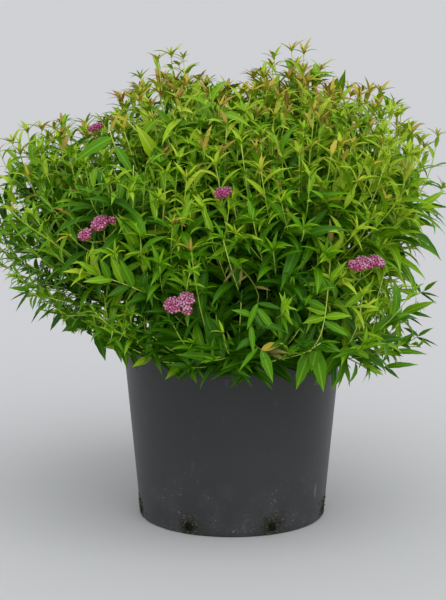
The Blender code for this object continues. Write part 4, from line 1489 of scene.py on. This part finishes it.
# %% Placed shoots
LEADERS = (
    (0.075, 0.000, 0.604, 0.85), (0.090, -0.015, 0.602, 0.80), (0.053, 0.010, 0.594, 0.85),
    (0.112, 0.000, 0.580, 0.80), (0.146, -0.010, 0.556, 0.85), (0.187, 0.000, 0.552, 0.85),
    (0.226, -0.010, 0.506, 0.85), (0.246, 0.005, 0.480, 0.80), (0.262, 0.000, 0.496, 0.80),
    (0.268, -0.010, 0.430, 0.80), (-0.078, 0.005, 0.598, 0.85), (-0.094, -0.010, 0.594, 0.80),
    (-0.062, -0.015, 0.595, 0.80), (-0.128, -0.010, 0.548, 0.90), (-0.142, 0.010, 0.542, 0.90),
    (-0.113, -0.030, 0.552, 0.90), (-0.243, -0.010, 0.506, 0.90), (-0.262, 0.010, 0.500, 0.85),
    (-0.280, -0.010, 0.488, 0.85), (-0.218, 0.000, 0.496, 0.85), (-0.298, 0.000, 0.476, 0.80),
    (0.030, 0.120, 0.560, 0.85), (-0.120, 0.110, 0.560, 0.85),
)
LEADER_LEAFY, LEADER_ROSETTE = 0.12, 7
LEADER_SLACK = 1.9
FLANK_TIPS = (
    (-0.300, 0.000, 0.352), (-0.292, -0.040, 0.336), (-0.290, 0.040, 0.330), (-0.272, -0.090, 0.330),
    (-0.270, -0.010, 0.308), (-0.258, -0.070, 0.304), (-0.254, 0.060, 0.298), (-0.246, 0.010, 0.288),
    (-0.232, -0.060, 0.280), (-0.226, 0.040, 0.276), (-0.214, -0.020, 0.268), (-0.196, -0.090, 0.262),
    (-0.230, -0.120, 0.310), (-0.205, -0.140, 0.290), (-0.297, 0.000, 0.384), (-0.294, 0.050, 0.366),
    (-0.292, -0.050, 0.368), (0.060, -0.284, 0.330), (-0.050, -0.282, 0.372),
)
FLANK_LEAFY, FLANK_GROWN = 0.15, 0.58
LEADER_TINTS = ("mid", "fresh", "bright", ("bronze", "gold", "gold", "lime"))
FLANK_TINTS = ("deep", "mid", "fresh", ("fresh", "bright"))


def grow_placed(tip, ring, tints, leafy, grown, rosette=5):
    """Grows a shoot whose tip is marked, from the bough nearest to it in a ring of the crown."""
    target = Vector(tip)
    name = nearest_mass(target, ring)
    path = shoot_path(masses[name]["bough"], target)
    add_shoot(name, path, (GREEN, PALE))
    leaf_up(name, path, tints, grow_random, leafy, grown=grown, rosette=rosette, slack=LEADER_SLACK)


for *tip, grown in LEADERS:
    grow_placed(tip, "", LEADER_TINTS, LEADER_LEAFY, grown, LEADER_ROSETTE)
for tip in FLANK_TIPS:
    grow_placed(tip, "shoulder", FLANK_TINTS, FLANK_LEAFY, FLANK_GROWN)
print("leaders", len(LEADERS), "on the flank and in front", len(FLANK_TIPS))

# %% [markdown]
# ### Gaps that show the sky
#
# The crown is thin low on both sides and along its top, where small gaps show the sky. Each gap is
# listed by its place across and down the picture, and its radius, in pixels. A leaf that would
# lie across one, as the camera sees it, is left out.

# %% Sky gaps
PICTURE_WIDTH, PICTURE_HEIGHT = 446, 600
SKY_GAPS = (
    (20, 211, 1.0), (35, 250, 1.0), (33, 265, 1.2), (41, 262, 1.0), (66, 260, 1.2), (25, 256, 1.0),
    (54, 292, 1.4), (64, 280, 1.0), (69, 295, 1.2), (60, 300, 1.0), (74, 299, 1.0), (56, 309, 1.0),
    (84, 302, 1.0), (95, 304, 1.2), (106, 294, 1.0), (82, 285, 1.0), (122, 302, 1.2), (107, 314, 1.0),
    (95, 322, 1.0), (121, 332, 1.2), (148, 327, 1.4), (348, 247, 1.2), (368, 237, 1.2), (359, 252, 1.0),
    (400, 225, 1.0), (310, 267, 1.0), (383, 280, 1.0), (388, 295, 1.0), (373, 322, 1.6), (363, 330, 1.0),
    (388, 330, 2.0), (353, 342, 1.2), (369, 350, 1.6), (398, 350, 1.6), (348, 360, 1.4), (298, 334, 1.0),
    (385, 117, 1.2), (403, 122, 1.0), (395, 137, 1.0), (348, 97, 1.0), (423, 177, 1.4), (430, 190, 1.4),
    (162, 110, 1.2), (175, 107, 1.0), (217, 107, 1.0), (41, 159, 1.0), (30, 187, 1.0),
)
LEAF_SPINE = np.array([(*point, 1.0) for point in (Vector(), LEAF_MIDDLE, LEAF_TIP)])
CLEAR_SHARE = 0.35


def in_picture(points):
    """Where points show in the picture, across and down, and pixels to the metre there."""
    offset = points - np.array(CAMERA_PLACE)
    ahead = np.array((0.0, math.cos(CAMERA_PITCH), -math.sin(CAMERA_PITCH)))
    above = np.array((0.0, math.sin(CAMERA_PITCH), math.cos(CAMERA_PITCH)))
    scale = CAMERA_LENS_MM / SENSOR_MM * PICTURE_HEIGHT / (offset @ ahead)
    right = PICTURE_WIDTH / 2 + offset[..., 0] * scale
    down = PICTURE_HEIGHT / 2 - (offset @ above) * scale
    return np.stack((right, down), axis=-1), scale


def lie_across_gaps(placings):
    """Which leaves lie across one of the gaps."""
    seen, scale = in_picture(np.einsum("nij,kj->nki", placings, LEAF_SPINE)[..., :3])
    widths = np.linalg.norm(placings[:, :3, 0], axis=1) * WIDTH_PER_LENGTH * scale[:, 1]
    hidden = np.zeros(len(placings), dtype=bool)
    for right, down, radius in SKY_GAPS:
        for start, end in ((0, 1), (1, 2)):
            run = seen[:, end] - seen[:, start]
            offset = np.array((right, down)) - seen[:, start]
            share = np.clip((offset * run).sum(axis=1) / ((run * run).sum(axis=1) + TINY), 0.0, 1.0)
            distance = np.linalg.norm(offset - run * share[:, None], axis=1)
            hidden |= distance < radius + widths / 2 * CLEAR_SHARE
    return hidden


left_out = 0
for name, places in leaf_places.items():
    hidden = lie_across_gaps(np.array([placing for _, _, placing in places]))
    leaf_places[name] = [place for place, is_hidden in zip(places, hidden) if not is_hidden]
    left_out += int(hidden.sum())
print("sky gaps", len(SKY_GAPS), "leaves left out", left_out)

# %% [markdown]
# ### Marked sprigs
#
# Fifteen sprigs on the front give this plant its own face: an old curled shoot with withered bits, a
# bright fan of leaves beside it, two broad leaves that hang before the pot, a straight shoot low on
# the left, two with broad leaves near the top, and thin ones that stand out at both edges. Each is a
# shoot through points, from its bough. A leaf of one is given by the places of its foot and its point,
# each across and up, by its width and by its tint. Its foot is drawn to the nearest point of the
# shoot, so no leaf hangs in the air.

# %% Sprigs in the middle
SPRIGS = {
    "bright_fan": {
        "depth": -0.245, "skin": PALE,
        "through": (
            (0.092, -0.225, 0.262), (0.104, -0.243, 0.285), (0.109, -0.245, 0.309),
            (0.114, -0.240, 0.360), (0.116, -0.232, 0.402),
        ),
        "leaves": (
            (0.110, 0.317, 0.077, 0.334, 0.0095, "mid"), (0.109, 0.312, 0.086, 0.322, 0.0100, "fresh"),
            (0.109, 0.307, 0.082, 0.303, 0.0105, "fresh"), (0.110, 0.310, 0.140, 0.312, 0.0100, "fresh"),
            (0.109, 0.304, 0.137, 0.287, 0.0100, "mid"), (0.113, 0.345, 0.092, 0.372, 0.0090, "mid"),
            (0.113, 0.350, 0.134, 0.378, 0.0090, "fresh"), (0.115, 0.375, 0.099, 0.405, 0.0085, "fresh"),
            (0.115, 0.380, 0.131, 0.409, 0.0085, "bright"),
            (0.116, 0.400, 0.113, 0.428, 0.0060, "bronze"),
        ),
    },
    "hanging_pair": {
        "depth": -0.212, "skin": GREEN,
        "through": (
            (0.070, -0.150, 0.262), (0.088, -0.200, 0.268), (0.097, -0.212, 0.266),
            (0.104, -0.216, 0.270),
        ),
        "leaves": (
            (0.091, 0.263, 0.076, 0.215, 0.0170, "mid"), (0.100, 0.264, 0.109, 0.212, 0.0175, "mid"),
            (0.104, 0.270, 0.094, 0.238, 0.0140, "mid"), (0.092, 0.268, 0.066, 0.262, 0.0120, "deep"),
            (0.104, 0.271, 0.130, 0.262, 0.0140, "mid"),
        ),
    },
    "old_curled": {
        "depth": -0.252, "skin": OLIVE,
        "through": (
            (-0.020, -0.190, 0.352), (-0.013, -0.228, 0.382), (0.016, -0.248, 0.364),
            (0.034, -0.252, 0.334), (0.023, -0.254, 0.312), (0.017, -0.255, 0.292),
            (0.027, -0.254, 0.271), (0.048, -0.248, 0.266),
        ),
        "leaves": (
            (0.020, 0.330, 0.016, 0.296, 0.0075, "mid"), (0.017, 0.300, 0.024, 0.268, 0.0075, "mid"),
            (0.018, 0.316, -0.002, 0.321, 0.0080, "mid"), (0.017, 0.288, 0.003, 0.272, 0.0080, "deep"),
            (0.022, 0.268, 0.006, 0.246, 0.0060, "mid"), (0.033, 0.269, 0.047, 0.233, 0.0120, "mid"),
            (0.034, 0.328, 0.060, 0.320, 0.0070, "deep"), (0.034, 0.322, 0.053, 0.288, 0.0090, "mid"),
            (0.028, 0.315, 0.037, 0.296, 0.0085, "deep"), (0.040, 0.300, 0.066, 0.293, 0.0100, "deep"),
            (0.030, 0.270, 0.068, 0.268, 0.0060, "withered"),
            (0.036, 0.272, 0.060, 0.280, 0.0100, "gold"),
            (0.046, 0.267, 0.062, 0.260, 0.0060, "withered"),
            (-0.016, 0.378, -0.010, 0.362, 0.0035, "withered"),
            (-0.012, 0.382, 0.004, 0.368, 0.0035, "withered"),
            (0.000, 0.374, -0.012, 0.352, 0.0035, "withered"),
            (0.010, 0.368, 0.008, 0.350, 0.0035, "withered"),
            (0.018, 0.360, 0.004, 0.352, 0.0030, "withered"),
            (0.028, 0.350, 0.044, 0.344, 0.0035, "withered"),
            (-0.004, 0.378, 0.018, 0.380, 0.0090, "fresh"), (0.010, 0.368, -0.008, 0.386, 0.0090, "mid"),
        ),
    },
}
print("sprigs in the middle", len(SPRIGS))

# %% Sprigs left of the middle
SPRIGS |= {
    "left_fan": {
        "depth": -0.232, "skin": PALE,
        "through": (
            (-0.060, -0.180, 0.300), (-0.088, -0.222, 0.327), (-0.130, -0.234, 0.348),
            (-0.160, -0.226, 0.356), (-0.183, -0.215, 0.360),
        ),
        "leaves": (
            (-0.118, 0.343, -0.134, 0.378, 0.0125, "mid"),
            (-0.131, 0.348, -0.146, 0.384, 0.0115, "fresh"),
            (-0.107, 0.338, -0.104, 0.366, 0.0100, "deep"), (-0.146, 0.352, -0.158, 0.380, 0.0100, "mid"),
            (-0.141, 0.352, -0.178, 0.350, 0.0100, "fresh"),
            (-0.122, 0.344, -0.150, 0.332, 0.0100, "deep"),
            (-0.160, 0.356, -0.186, 0.376, 0.0090, "fresh"),
            (-0.104, 0.336, -0.124, 0.318, 0.0095, "deep"),
            (-0.183, 0.360, -0.202, 0.362, 0.0070, "lime"),
        ),
    },
    "rim_creeper": {
        "depth": -0.190, "skin": PALE,
        "through": (
            (-0.020, -0.130, 0.245), (-0.050, -0.178, 0.238), (-0.088, -0.188, 0.243),
            (-0.119, -0.184, 0.256), (-0.134, -0.178, 0.264),
        ),
        "leaves": (
            (-0.060, 0.239, -0.082, 0.222, 0.0100, "fresh"),
            (-0.084, 0.243, -0.100, 0.262, 0.0100, "bright"),
            (-0.100, 0.248, -0.122, 0.238, 0.0095, "bright"),
            (-0.108, 0.252, -0.096, 0.272, 0.0095, "fresh"),
            (-0.130, 0.262, -0.156, 0.262, 0.0100, "fresh"),
            (-0.050, 0.239, -0.044, 0.218, 0.0100, "mid"),
        ),
    },
    "left_hanger": {
        "depth": -0.120, "skin": GREEN,
        "through": (
            (-0.120, -0.090, 0.262), (-0.150, -0.110, 0.270), (-0.170, -0.120, 0.272),
            (-0.188, -0.124, 0.282),
        ),
        "leaves": (
            (-0.171, 0.270, -0.158, 0.230, 0.0135, "deep"), (-0.150, 0.269, -0.132, 0.252, 0.0100, "mid"),
            (-0.186, 0.280, -0.212, 0.268, 0.0110, "deep"), (-0.176, 0.274, -0.186, 0.302, 0.0100, "mid"),
            (-0.142, 0.266, -0.138, 0.228, 0.0120, "mid"), (-0.130, 0.264, -0.131, 0.218, 0.0130, "mid"),
            (-0.122, 0.264, -0.118, 0.216, 0.0110, "deep"),
            (-0.146, 0.268, -0.160, 0.244, 0.0100, "fresh"),
            (-0.124, 0.262, -0.100, 0.238, 0.0110, "fresh"),
        ),
    },
}
print("sprigs in the middle and left of it", len(SPRIGS))

# %% Sprigs near the top
SPRIGS |= {
    "broad_upper": {
        "depth": -0.135, "skin": PALE,
        "through": (
            (-0.060, -0.110, 0.400), (-0.082, -0.135, 0.455), (-0.098, -0.142, 0.500),
            (-0.128, -0.132, 0.530),
        ),
        "leaves": (
            (-0.090, 0.480, -0.118, 0.528, 0.0165, "bright"),
            (-0.098, 0.500, -0.072, 0.470, 0.0130, "fresh"),
            (-0.128, 0.530, -0.146, 0.538, 0.0050, "gold"),
            (-0.110, 0.515, -0.090, 0.535, 0.0090, "fresh"),
        ),
    },
    "broad_left": {
        "depth": -0.165, "skin": PALE,
        "through": (
            (-0.100, -0.120, 0.420), (-0.128, -0.150, 0.470), (-0.146, -0.165, 0.512),
            (-0.150, -0.150, 0.530),
        ),
        "leaves": (
            (-0.146, 0.516, -0.190, 0.486, 0.0150, "mid"), (-0.140, 0.500, -0.120, 0.470, 0.0110, "mid"),
            (-0.148, 0.522, -0.136, 0.542, 0.0050, "gold"),
        ),
    },
}
print("sprigs in the middle, left of it and near the top", len(SPRIGS))

# %% Sprigs at the right edge
SPRIGS |= {
    "right_low": {
        "depth": -0.070, "skin": GREEN,
        "through": (
            (0.143, -0.070, 0.239), (0.170, -0.070, 0.217), (0.193, -0.070, 0.210),
        ),
        "leaves": (
            (0.194, 0.211, 0.236, 0.214, 0.0080, "mid"), (0.194, 0.209, 0.212, 0.196, 0.0050, "deep"),
            (0.170, 0.207, 0.191, 0.205, 0.0035, "shade"), (0.180, 0.218, 0.184, 0.206, 0.0040, "shade"),
            (0.172, 0.219, 0.175, 0.205, 0.0045, "deep"),
        ),
    },
    "right_middle": {
        "depth": -0.060, "skin": GREEN,
        "through": (
            (0.143, -0.060, 0.227), (0.173, -0.060, 0.217), (0.196, -0.060, 0.225),
            (0.206, -0.060, 0.231),
        ),
        "leaves": (
            (0.202, 0.230, 0.248, 0.226, 0.0078, "mid"), (0.198, 0.226, 0.225, 0.226, 0.0035, "deep"),
            (0.196, 0.223, 0.200, 0.213, 0.0035, "deep"), (0.202, 0.225, 0.210, 0.216, 0.0030, "shade"),
            (0.201, 0.229, 0.197, 0.243, 0.0065, "deep"), (0.186, 0.221, 0.170, 0.230, 0.0080, "mid"),
        ),
    },
    "right_reach": {
        "depth": -0.050, "skin": GREEN,
        "through": (
            (0.144, -0.050, 0.247), (0.181, -0.050, 0.262), (0.209, -0.050, 0.272),
            (0.224, -0.050, 0.277),
        ),
        "leaves": (
            (0.211, 0.271, 0.213, 0.233, 0.0072, "fresh"), (0.210, 0.270, 0.192, 0.255, 0.0080, "fresh"),
            (0.224, 0.277, 0.254, 0.271, 0.0055, "deep"), (0.217, 0.275, 0.243, 0.260, 0.0030, "shade"),
            (0.214, 0.275, 0.259, 0.292, 0.0110, "fresh"), (0.201, 0.270, 0.195, 0.293, 0.0080, "fresh"),
        ),
    },
    "right_tip": {
        "depth": -0.050, "skin": GREEN,
        "through": (
            (0.178, -0.050, 0.277), (0.208, -0.050, 0.289), (0.229, -0.050, 0.297),
            (0.244, -0.050, 0.305),
        ),
        "leaves": (
            (0.244, 0.303, 0.260, 0.319, 0.0055, "mid"), (0.241, 0.299, 0.263, 0.298, 0.0030, "deep"),
            (0.241, 0.297, 0.260, 0.288, 0.0030, "shade"), (0.235, 0.299, 0.209, 0.307, 0.0090, "fresh"),
            (0.239, 0.303, 0.229, 0.319, 0.0045, "deep"),
        ),
    },
    "right_bend": {
        "depth": -0.030, "skin": GREEN,
        "through": (
            (0.180, -0.030, 0.221), (0.211, -0.030, 0.229), (0.229, -0.030, 0.235),
            (0.239, -0.030, 0.242),
        ),
        "leaves": (
            (0.240, 0.243, 0.258, 0.254, 0.0050, "mid"), (0.238, 0.239, 0.257, 0.228, 0.0030, "deep"),
            (0.238, 0.238, 0.265, 0.230, 0.0026, "shade"), (0.239, 0.242, 0.218, 0.255, 0.0055, "deep"),
        ),
    },
}
print("sprigs in all but the left edge", len(SPRIGS))

# %% Sprigs at the left edge
SPRIGS |= {
    "left_edge": {
        "depth": -0.110, "skin": GREEN,
        "through": (
            (-0.160, -0.110, 0.261), (-0.198, -0.110, 0.281), (-0.227, -0.110, 0.298),
            (-0.252, -0.110, 0.316),
        ),
        "leaves": (
            (-0.252, 0.317, -0.278, 0.321, 0.0065, "mid"), (-0.256, 0.313, -0.270, 0.290, 0.0035, "deep"),
            (-0.259, 0.317, -0.277, 0.304, 0.0024, "shade"),
            (-0.231, 0.299, -0.247, 0.287, 0.0055, "mid"),
            (-0.235, 0.297, -0.251, 0.275, 0.0030, "shade"),
            (-0.222, 0.292, -0.243, 0.278, 0.0026, "shade"),
            (-0.215, 0.287, -0.227, 0.266, 0.0070, "shade"),
            (-0.210, 0.284, -0.197, 0.262, 0.0080, "deep"),
            (-0.195, 0.279, -0.175, 0.265, 0.0070, "deep"), (-0.245, 0.309, -0.249, 0.292, 0.0035, "mid"),
            (-0.235, 0.304, -0.239, 0.325, 0.0070, "fresh"),
            (-0.215, 0.292, -0.215, 0.314, 0.0070, "mid"),
        ),
    },
    "left_reach": {
        "depth": -0.185, "skin": GREEN, "thickness": 0.65,
        "through": (
            (-0.175, -0.185, 0.352), (-0.189, -0.185, 0.369), (-0.208, -0.185, 0.383),
            (-0.234, -0.185, 0.401), (-0.256, -0.185, 0.416), (-0.265, -0.185, 0.427),
        ),
        "leaves": (
            (-0.189, 0.368, -0.205, 0.358, 0.0045, "mid"),
            (-0.206, 0.381, -0.198, 0.401, 0.0045, "fresh"),
            (-0.220, 0.391, -0.235, 0.377, 0.0040, "mid"),
            (-0.232, 0.398, -0.227, 0.416, 0.0045, "fresh"),
            (-0.246, 0.409, -0.262, 0.397, 0.0045, "mid"),
            (-0.251, 0.413, -0.248, 0.431, 0.0045, "fresh"),
            (-0.263, 0.425, -0.277, 0.415, 0.0045, "mid"),
            (-0.264, 0.426, -0.276, 0.436, 0.0045, "bright"),
            (-0.265, 0.427, -0.263, 0.441, 0.0035, "gold"),
        ),
    },
}
print("all sprigs", len(SPRIGS))

# %% Grow the marked sprigs
SPRIG_FOOT_SHARE = 0.42
SPRIG_POINTS, FINE_STEPS = 26, 60
SPRIG_FACING = Vector((0.0, -1.0, 0.7))
SPRIG_ARCH = 0.48
SPRIG_FORWARD = 0.006
ARCH_PER_CHORD = 1.02


def nearest_on(path, point):
    """The point of a path that is nearest to a place."""
    spots = [along_path(path, step / FINE_STEPS)[0] for step in range(FINE_STEPS + 1)]
    return min(spots, key=lambda spot: (spot - point).length)


sprig_random = random.Random(31)
for sprig in SPRIGS.values():
    through = [Vector(point) for point in sprig["through"]]
    name = nearest_mass(through[1])
    foot = along_path(masses[name]["bough"], SPRIG_FOOT_SHARE)[0]
    path = evenly([foot] + through, SPRIG_POINTS)
    inner = [(before + at * 2 + after) / 4 for before, at, after in zip(path, path[1:], path[2:])]
    smooth = [path[0]] + inner + [path[-1]]
    add_shoot(name, smooth, (OLIVE, sprig["skin"]), sprig.get("thickness", 1.0))
    for foot_x, foot_z, point_x, point_z, width, tint in sprig["leaves"]:
        foot = nearest_on(smooth, Vector((foot_x, sprig["depth"], foot_z)))
        point = Vector((point_x, min(foot.y, sprig["depth"]) - SPRIG_FORWARD, point_z))
        run = point - foot
        chord = run.normalized()
        upper = (SPRIG_FACING - chord * SPRIG_FACING.dot(chord)).normalized()
        along = chord * math.cos(SPRIG_ARCH / 2) + upper * math.sin(SPRIG_ARCH / 2)
        broad = width / (run.length * WIDTH_PER_LENGTH)
        placing = leaf_frame(foot, along, upper, run.length * ARCH_PER_CHORD, broad)
        leaf_places[name].append((sprig_random.choice(blanks_of["flat"]), tint, placing))
print("leaves of the sprigs", sum(len(sprig["leaves"]) for sprig in SPRIGS.values()))

# %% [markdown]
# ### Joining thousands of leaves
#
# Thousands of separate leaf objects would be slow, and instances don't travel to other programs. So
# each blank's points are multiplied by all its placings at once, as arrays, and one mesh takes them.

# %% Leaves and shoots of each mass
for name in masses:
    leaves = joined(f"leaves_{name}", leaf_blanks, leaf_places[name], tint_slots)
    new_piece(f"leaves_{name}", leaves, leaf_materials, [f"foliage_{name}"])
    shoots = tubes(shoot_runs[name], 1, shoot_materials)
    new_piece(f"shoots_{name}", shoots, shoot_materials, [f"foliage_{name}"])

# %% [markdown]
# ## Flower heads
#
# The flowers are many small florets in flat-topped clusters. A floret has five round petals, a
# darker eye and thin stamens that stand out past it. Its petals are thin and matt, so its materials
# are rough plain pinks. Each cluster is one to three shallow domes, and the edge of a dome has round
# buds that haven't opened. The dome's places come from the golden angle again, the way a sunflower
# sets its seeds, and every floret has its own thin stalk to the shoot. Sizes in a floret's blank are
# shares of its own radius.

# %% Floret and bud blanks
PETALS, PETAL_CORNERS = 5, 7
PETAL_RADIUS, PETAL_OUT = 0.38, 0.62
PETAL_TILT = math.radians(24.0)
EYE_SIDES, EYE_FOOT, EYE_TOP, EYE_HEIGHT = 5, 0.10, 0.24, 0.30
STAMENS, STAMEN_SIDES = 7, 3
STAMEN_FOOT, STAMEN_TIP, STAMEN_LENGTH = 0.06, 0.12, 1.15
STAMEN_LEAN, STAMEN_RISE = math.radians(34.0), 0.6
FLORET = 0.0016
BUD = 0.0009
CALYX = 0.0016
CALYX_DEPTH = 0.0012


def petal(number):
    """One round petal of a floret of radius 1, tilted up from the middle."""
    bm = bmesh.new()
    bmesh.ops.create_circle(bm, cap_ends=True, segments=PETAL_CORNERS, radius=PETAL_RADIUS)
    bmesh.ops.translate(bm, verts=bm.verts, vec=(PETAL_OUT, 0.0, 0.0))
    tilt = Matrix.Rotation(-PETAL_TILT, 4, "Y")
    turn = Matrix.Rotation(number * math.tau / PETALS, 4, "Z")
    bmesh.ops.transform(bm, matrix=turn @ tilt, verts=bm.verts)
    return bm


def eye():
    """The floret's cup."""
    bm = bmesh.new()
    bmesh.ops.create_cone(
        bm, cap_ends=True, segments=EYE_SIDES, radius1=EYE_FOOT, radius2=EYE_TOP, depth=EYE_HEIGHT,
    )
    return bm


def stamen(number):
    """One thin stamen that leans outwards."""
    bm = bmesh.new()
    bmesh.ops.create_cone(
        bm, cap_ends=True, segments=STAMEN_SIDES, radius1=STAMEN_FOOT, radius2=STAMEN_TIP,
        depth=STAMEN_LENGTH,
    )
    lean = Matrix.Rotation(STAMEN_LEAN, 4, "Y")
    turn = Matrix.Rotation((number + 0.5) * math.tau / STAMENS, 4, "Z")
    rise = Matrix.Translation((0.0, 0.0, STAMEN_RISE))
    bmesh.ops.transform(bm, matrix=turn @ lean @ rise, verts=bm.verts)
    return bm


bud_bm = bmesh.new()
bmesh.ops.create_icosphere(bud_bm, subdivisions=1, radius=1.0)
floret_parts = [(0, petal(number)) for number in range(PETALS)] + [(1, eye())]
floret_parts += [(2, stamen(number)) for number in range(STAMENS)]
flower_blanks = [blank_from(floret_parts), blank_from([(0, bud_bm)])]
print("floret faces", len(flower_blanks[0][1]), "bud faces", len(flower_blanks[1][1]))

# %% Flower materials
FLOWER_TINTS = {
    "deep": ("#AE2E6E", "#701A42", "#DC90BC"),
    "rose": ("#DC529A", "#962860", "#F2ACCE"),
    "pale": ("#F4A0CC", "#B85692", "#FFDAEC"),
    "bud": ("#9A204E", "#9A204E", "#9A204E"),
}
FLOWER_DRAWS = {
    "deep": ("deep", "deep", "rose"),
    "mixed": ("deep", "rose", "rose", "pale"),
    "pale": ("rose", "pale", "pale"),
}
PART_NAMES = ("petal", "eye", "stamen")
PETAL_ROUGHNESS = 0.6
flower_materials = []
flower_slots = {}
for tint, colours in FLOWER_TINTS.items():
    flower_slots[tint] = len(flower_materials)
    for part_name, colour in zip(PART_NAMES, colours):
        flower_materials.append(new_material(f"{tint}_pink_{part_name}", colour, PETAL_ROUGHNESS)[0])
print("flower materials", len(flower_materials))

# %% Set the florets
FLORET_GAP = 0.0028
LOBE_DOME = 0.0030
LOBE_STALK = 0.014
LOBE_BUDS = 9
PEDICEL_RADIUS = 0.00028
PEDUNCLE_RADIUS = 0.0007
PEDUNCLE_SAG = 0.012
PEDUNCLE_BEND, PEDUNCLE_DIP = 0.4, 0.001
BUD_SHARE = 1.04
FLORET_LEAN = 0.55
FLORET_RISES, FLORET_SIZES = (-0.0008, 0.0010), (0.85, 1.15)

bloom_random = random.Random(23)
flower_places, flower_runs = [], []
for head in HEADS:
    outwards = (head["centre"] - CROWN_CENTRE).normalized()
    normal = (outwards + UP * head["tilt"]).normalized()
    beside = UP.cross(normal).normalized() * -head["side"]
    behind = normal.cross(beside).normalized()
    base = head["centre"] - normal * (LOBE_STALK + PEDUNCLE_SAG)
    for u, v, radius in head["lobes"]:
        lobe = head["centre"] + beside * u + behind * v
        joint = lobe - normal * LOBE_STALK
        bend = joint.lerp(base, PEDUNCLE_BEND) - UP * PEDUNCLE_DIP
        flower_runs.append(([base, bend, joint], [PEDUNCLE_RADIUS] * 3, 0))
        florets = round(math.pi * radius ** 2 / FLORET_GAP ** 2)
        for number in range(florets + LOBE_BUDS):
            is_bud = number >= florets
            share = BUD_SHARE if is_bud else math.sqrt((number + 0.5) / florets)
            turn = number * TURN_PER_LEAF
            out = beside * math.cos(turn) + behind * math.sin(turn)
            rise = LOBE_DOME * (1.0 - share ** 2) + bloom_random.uniform(*FLORET_RISES)
            at = lobe + out * (radius * share) + normal * rise
            along = (normal + out * (share * FLORET_LEAN)).normalized()
            spin = Matrix.Rotation(bloom_random.uniform(0.0, math.tau), 4, "Z")
            size = BUD if is_bud else FLORET * bloom_random.uniform(*FLORET_SIZES)
            placing = Matrix.Translation(at) @ along.to_track_quat("Z", "Y").to_matrix().to_4x4()
            placing = placing @ spin @ Matrix.Diagonal((size, size, size, 1.0))
            tint = "bud" if is_bud else bloom_random.choice(FLOWER_DRAWS[head["tints"]])
            flower_places.append((int(is_bud), tint, placing))
            if not is_bud:
                calyx = Matrix.Translation(at - normal * CALYX_DEPTH) @ Matrix.Scale(CALYX, 4)
                flower_places.append((1, "bud", calyx))
            flower_runs.append(([joint, at], [PEDICEL_RADIUS] * 2, 0))
    path = shoot_path(masses[head["mass"]]["bough"], base)
    flower_runs.append((path, tapered(SHOOT_RADIUS, PEDUNCLE_RADIUS, len(path)), 0))
head_nodes = sorted({f"foliage_{head['mass']}" for head in HEADS})
florets = joined("florets", flower_blanks, flower_places, flower_slots)
new_piece("florets", florets, flower_materials, head_nodes)
stalks = tubes(flower_runs, 0, shoot_materials[GREEN:])
new_piece("flower_stalks", stalks, shoot_materials[GREEN:], head_nodes)
